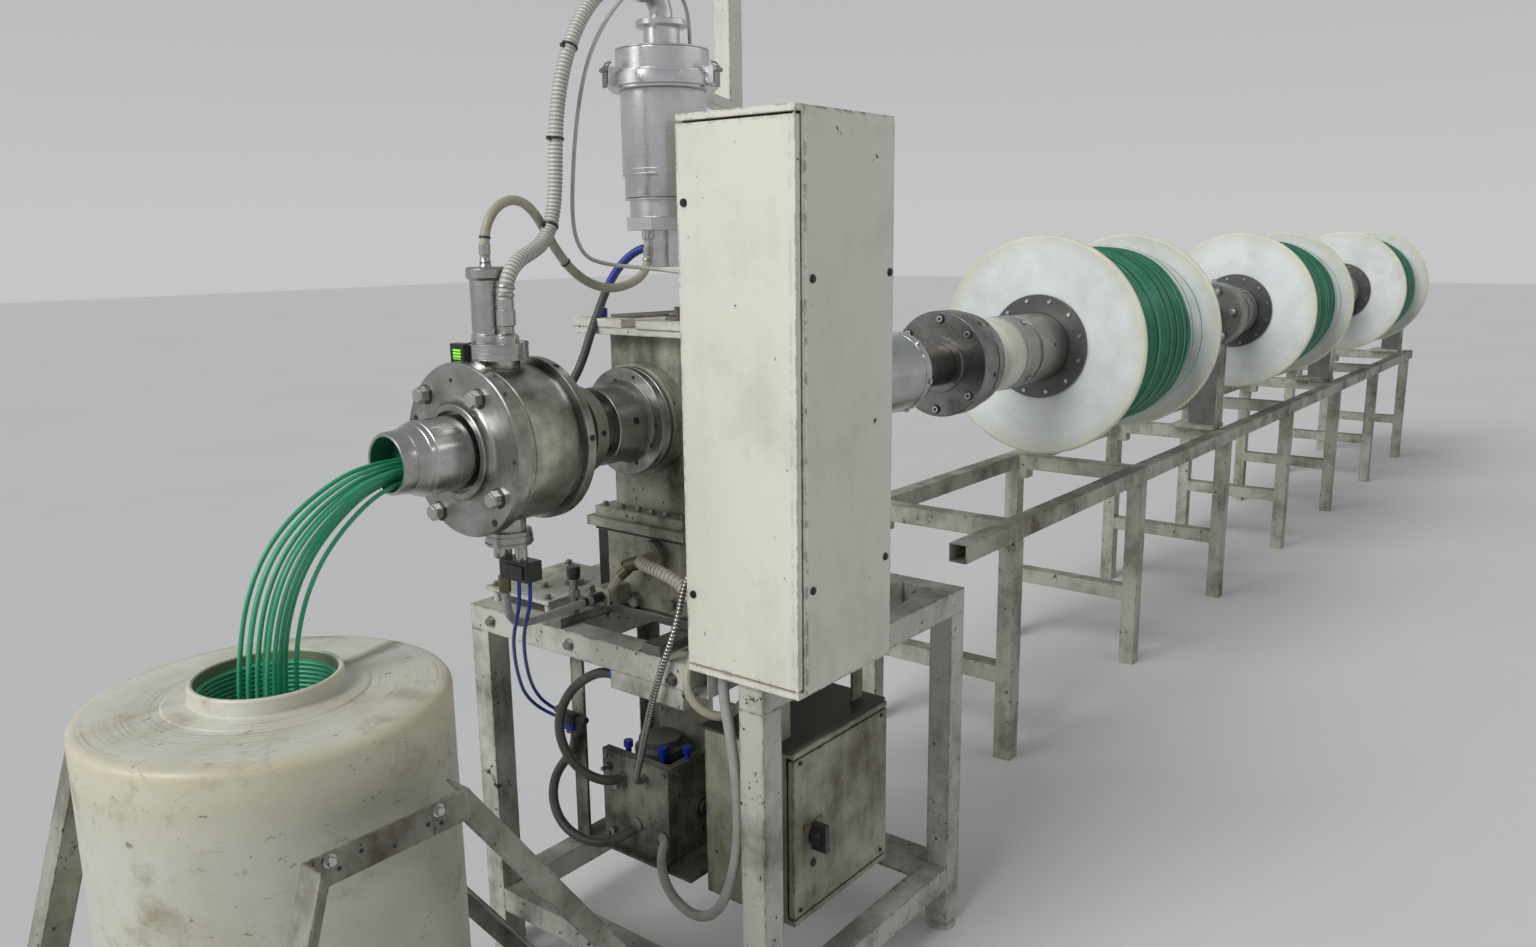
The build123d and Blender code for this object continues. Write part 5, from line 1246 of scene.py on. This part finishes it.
build("hose_clips", port_steel, "polished_steel",
      (add_band, suction, 0.034, 0.0168, 0.006), (add_band, suction, 0.052, 0.0172, 0.004),
      (add_band, beige, 0.022, 0.0108, 0.020), (add_band, beige, 0.955, 0.0112, 0.005),
      (add_band, beige, 0.985, 0.0108, 0.016),
      (add_rod, (-0.2375, -0.037, 1.612), (-0.2375, -0.037, 1.645), 0.0163), width=0.0005)
ties = bmesh.new()
for height in (1.780, 1.944, 2.118):
    share = share_at(suction, height)
    add_band(ties, suction, share, 0.0166, 0.0045)
    middle = suction[int(share * (len(suction) - 1))] - LINE_START
    add_box(ties, middle + Vector((-0.0215, -0.004, -0.003)),
            middle + Vector((-0.0145, 0.004, 0.004)))
for share in (0.060, 0.540):
    add_band(ties, beige, share, 0.0108, 0.004)
finish("ties", ties, knob_black, "black_plastic", width=0.0004)
round_cord("sensor_cable_pale", [
    (0.311, -0.02, 2.156), (0.311, -0.02, 2.19), (0.294, -0.027, 2.232),
    (0.255, -0.036, 2.258), (0.208, -0.042, 2.27), (0.16, -0.042, 2.262),
    (0.122, -0.034, 2.236), (0.088, -0.022, 2.2), (0.057, -0.012, 2.156),
    (0.030, -0.006, 2.106), (0.009, -0.004, 2.05), (-0.007, -0.004, 1.99),
    (-0.019, -0.004, 1.926), (-0.027, -0.004, 1.862), (-0.032, -0.004, 1.8),
    (-0.026, -0.005, 1.75), (-0.003, -0.008, 1.716), (0.036, -0.014, 1.703),
    (0.076, -0.03, 1.697), (0.112, -0.062, 1.692), (0.138, -0.106, 1.686),
    (0.152, -0.156, 1.68), (0.156, -0.212, 1.675), (0.156, -0.268, 1.675)],
    "sensor_cable", 0.008, pale_hose)
ribbed_hose("air_hose_corrugated", [
    (0.262, 0.026, 1.735), (0.262, 0.064, 1.735), (0.25, 0.098, 1.726),
    (0.226, 0.117, 1.702), (0.194, 0.12, 1.67), (0.162, 0.114, 1.634),
    (0.132, 0.106, 1.594), (0.103, 0.101, 1.552), (0.08, 0.1, 1.504), (0.055, 0.104, 1.46),
    (0.02, 0.112, 1.422), (-0.028, 0.121, 1.396), (-0.084, 0.128, 1.38),
    (-0.137, 0.128, 1.38)],
    "air_hose", 0.020, air_skin, 0.0068, 0.12)
round_cord("cabinet_hose_grey", [
    (0.02, -0.327, 0.906), (0.02, -0.327, 0.85), (0.019, -0.343, 0.78),
    (0.015, -0.359, 0.7), (0.011, -0.368, 0.62), (0.01, -0.366, 0.545), (0.01, -0.35, 0.47),
    (0.013, -0.324, 0.402), (0.021, -0.284, 0.35), (0.032, -0.234, 0.322),
    (0.041, -0.18, 0.318), (0.047, -0.132, 0.34), (0.058, -0.1, 0.382),
    (0.088, -0.085, 0.43), (0.125, -0.085, 0.43)],
    "cabinet_hose", 0.022, grey_hose)
ribbed_hose("conduit_wound", [
    (0.06, -0.268, 1.112), (0.06, -0.243, 1.112), (0.052, -0.226, 1.099),
    (0.038, -0.219, 1.072), (0.022, -0.219, 1.04), (0.007, -0.222, 1.004),
    (-0.008, -0.22, 0.964), (-0.019, -0.208, 0.92), (-0.024, -0.19, 0.868),
    (-0.022, -0.168, 0.812), (-0.013, -0.143, 0.754), (0.003, -0.114, 0.698),
    (0.023, -0.084, 0.646), (0.042, -0.054, 0.6), (0.062, -0.03, 0.558),
    (0.09, -0.03, 0.558)],
    "metal_conduit", 0.016, conduit_steel, 0.0078, 0.24)
round_cord("upper_loop_dark", [
    (0.03, -0.022, 0.822), (0.03, 0.022, 0.822), (0.026, 0.068, 0.802),
    (0.018, 0.112, 0.768), (0.01, 0.143, 0.722), (0.005, 0.156, 0.672),
    (0.006, 0.147, 0.622), (0.014, 0.12, 0.58), (0.03, 0.086, 0.554), (0.056, 0.042, 0.542),
    (0.09, 0.042, 0.542)],
    "upper_loop_hose", 0.022, dark_hose)
build("blue_collar", cap_blue, "hose_blue",
      (add_rod, (0.030, -0.030, 0.822), (0.030, 0.000, 0.822), 0.0128), width=0.001)
round_cord("lower_loop_dark", [
    (0.057, 0.158, 0.64), (0.057, 0.158, 0.604), (0.05, 0.182, 0.566), (0.038, 0.208, 0.526),
    (0.026, 0.212, 0.484), (0.017, 0.196, 0.444), (0.013, 0.162, 0.414),
    (0.015, 0.118, 0.4), (0.024, 0.074, 0.396), (0.044, 0.034, 0.402), (0.082, 0.008, 0.424),
    (0.13, -0.002, 0.44), (0.18, -0.002, 0.44)],
    "lower_loop_hose", 0.022, dark_hose)
round_cord("drain_hose_grey", [
    (-0.2295, 0.022, 1.082), (-0.2295, 0.022, 1.046), (-0.217, 0.028, 1.012),
    (-0.187, 0.036, 0.99), (-0.145, 0.045, 0.981), (-0.095, 0.051, 0.979),
    (-0.042, 0.054, 0.978), (0.01, 0.052, 0.98), (0.06, 0.052, 0.98)],
    "drain_hose", 0.018, grey_hose)
build("drain_end", knob_black, "black_plastic",
      (add_rod, (0.026, 0.052, 0.980), (0.058, 0.052, 0.980), 0.0118),
      (add_rod, (0.002, 0.0523, 0.980), (0.012, 0.0523, 0.980), 0.0104), width=0.001)
olive_brass = steel("olive_brass", (0.21, 0.19, 0.125), (0.09, 0.08, 0.055), 0.7, 0.34,
                    turned=0.0)
build("brass_parts", olive_brass, "ground_steel",
      (add_rod, (PORT_X, 0.022, 1.070), (PORT_X, 0.022, 1.1035), 0.0122),
      (add_rod, (0.1235, -0.064, 1.073), (0.092, -0.020, 1.061), 0.0105),
      (add_rod, (0.095, -0.026, 1.062), (0.083, -0.002, 1.052), 0.0150),
      (add_rod, (0.086, -0.006, 1.048), (0.078, 0.012, 1.030), 0.0120),
      (add_rod, (0.066, 0.046, 0.985), (0.060, 0.053, 0.968), 0.0125, 6), width=0.0012)
build("bent_pipe", beige_hose, "hose_beige",
      (add_rod, (0.080, 0.008, 1.034), (0.074, 0.030, 1.004), 0.0095),
      (add_rod, (0.074, 0.030, 1.005), (0.064, 0.049, 0.978), 0.0095), width=0.0008)
round_cord("air_tube_1", [
    (-0.24, -0.034, 1.106), (-0.24, -0.034, 1.062), (-0.226, -0.002, 1.012),
    (-0.198, 0.044, 0.962), (-0.16, 0.092, 0.908), (-0.12, 0.138, 0.856),
    (-0.078, 0.182, 0.802), (-0.034, 0.222, 0.746), (0.008, 0.242, 0.7),
    (0.04, 0.238, 0.67), (0.057, 0.21, 0.656), (0.057, 0.176, 0.656)],
    "air_tubes", 0.008, blue_tube)
round_cord("air_tube_2", [
    (-0.226, -0.05, 1.106), (-0.226, -0.05, 1.064), (-0.21, -0.016, 1.016),
    (-0.182, 0.03, 0.968), (-0.146, 0.076, 0.916), (-0.106, 0.122, 0.864),
    (-0.064, 0.166, 0.81), (-0.02, 0.206, 0.756), (0.016, 0.224, 0.712),
    (0.042, 0.222, 0.686), (0.055, 0.198, 0.672), (0.055, 0.176, 0.672)],
    "air_tubes", 0.008, blue_tube)
LUBE_ROUTE = [
    (0.102, -0.053, 1.078), (0.078, -0.053, 1.078), (0.06, -0.068, 1.077),
    (0.05, -0.096, 1.076), (0.048, -0.132, 1.072), (0.052, -0.168, 1.061),
    (0.059, -0.2, 1.039), (0.06, -0.226, 1.007), (0.052, -0.242, 0.971),
    (0.034, -0.25, 0.94), (0.01, -0.254, 0.916), (-0.012, -0.258, 0.892),
    (-0.022, -0.268, 0.862), (-0.016, -0.284, 0.834), (0.002, -0.3, 0.814),
    (0.024, -0.312, 0.803), (0.048, -0.324, 0.806), (0.068, -0.34, 0.826),
    (0.076, -0.348, 0.86), (0.076, -0.348, 0.906)]
round_cord("lube_hose_beige", LUBE_ROUTE, "lube_hose", 0.019, beige_hose)
sleeve_skin = plastic("sleeve_skin", (0.72, 0.66, 0.58), (0.40, 0.34, 0.26), 0.7, 12.0, 0.42)
sleeve = bmesh.new()
lube_path = spline_points(LUBE_ROUTE, 0.0045)
for index in range(8, 50):
    first, second = (place - LINE_START for place in lube_path[index:index + 2])
    add_rod(sleeve, first.lerp(second, 0.06), first.lerp(second, 0.94),
            0.0138 if index % 2 else 0.0124)
finish("sleeve", sleeve, sleeve_skin, "hose_beige", turn_over=50.0)
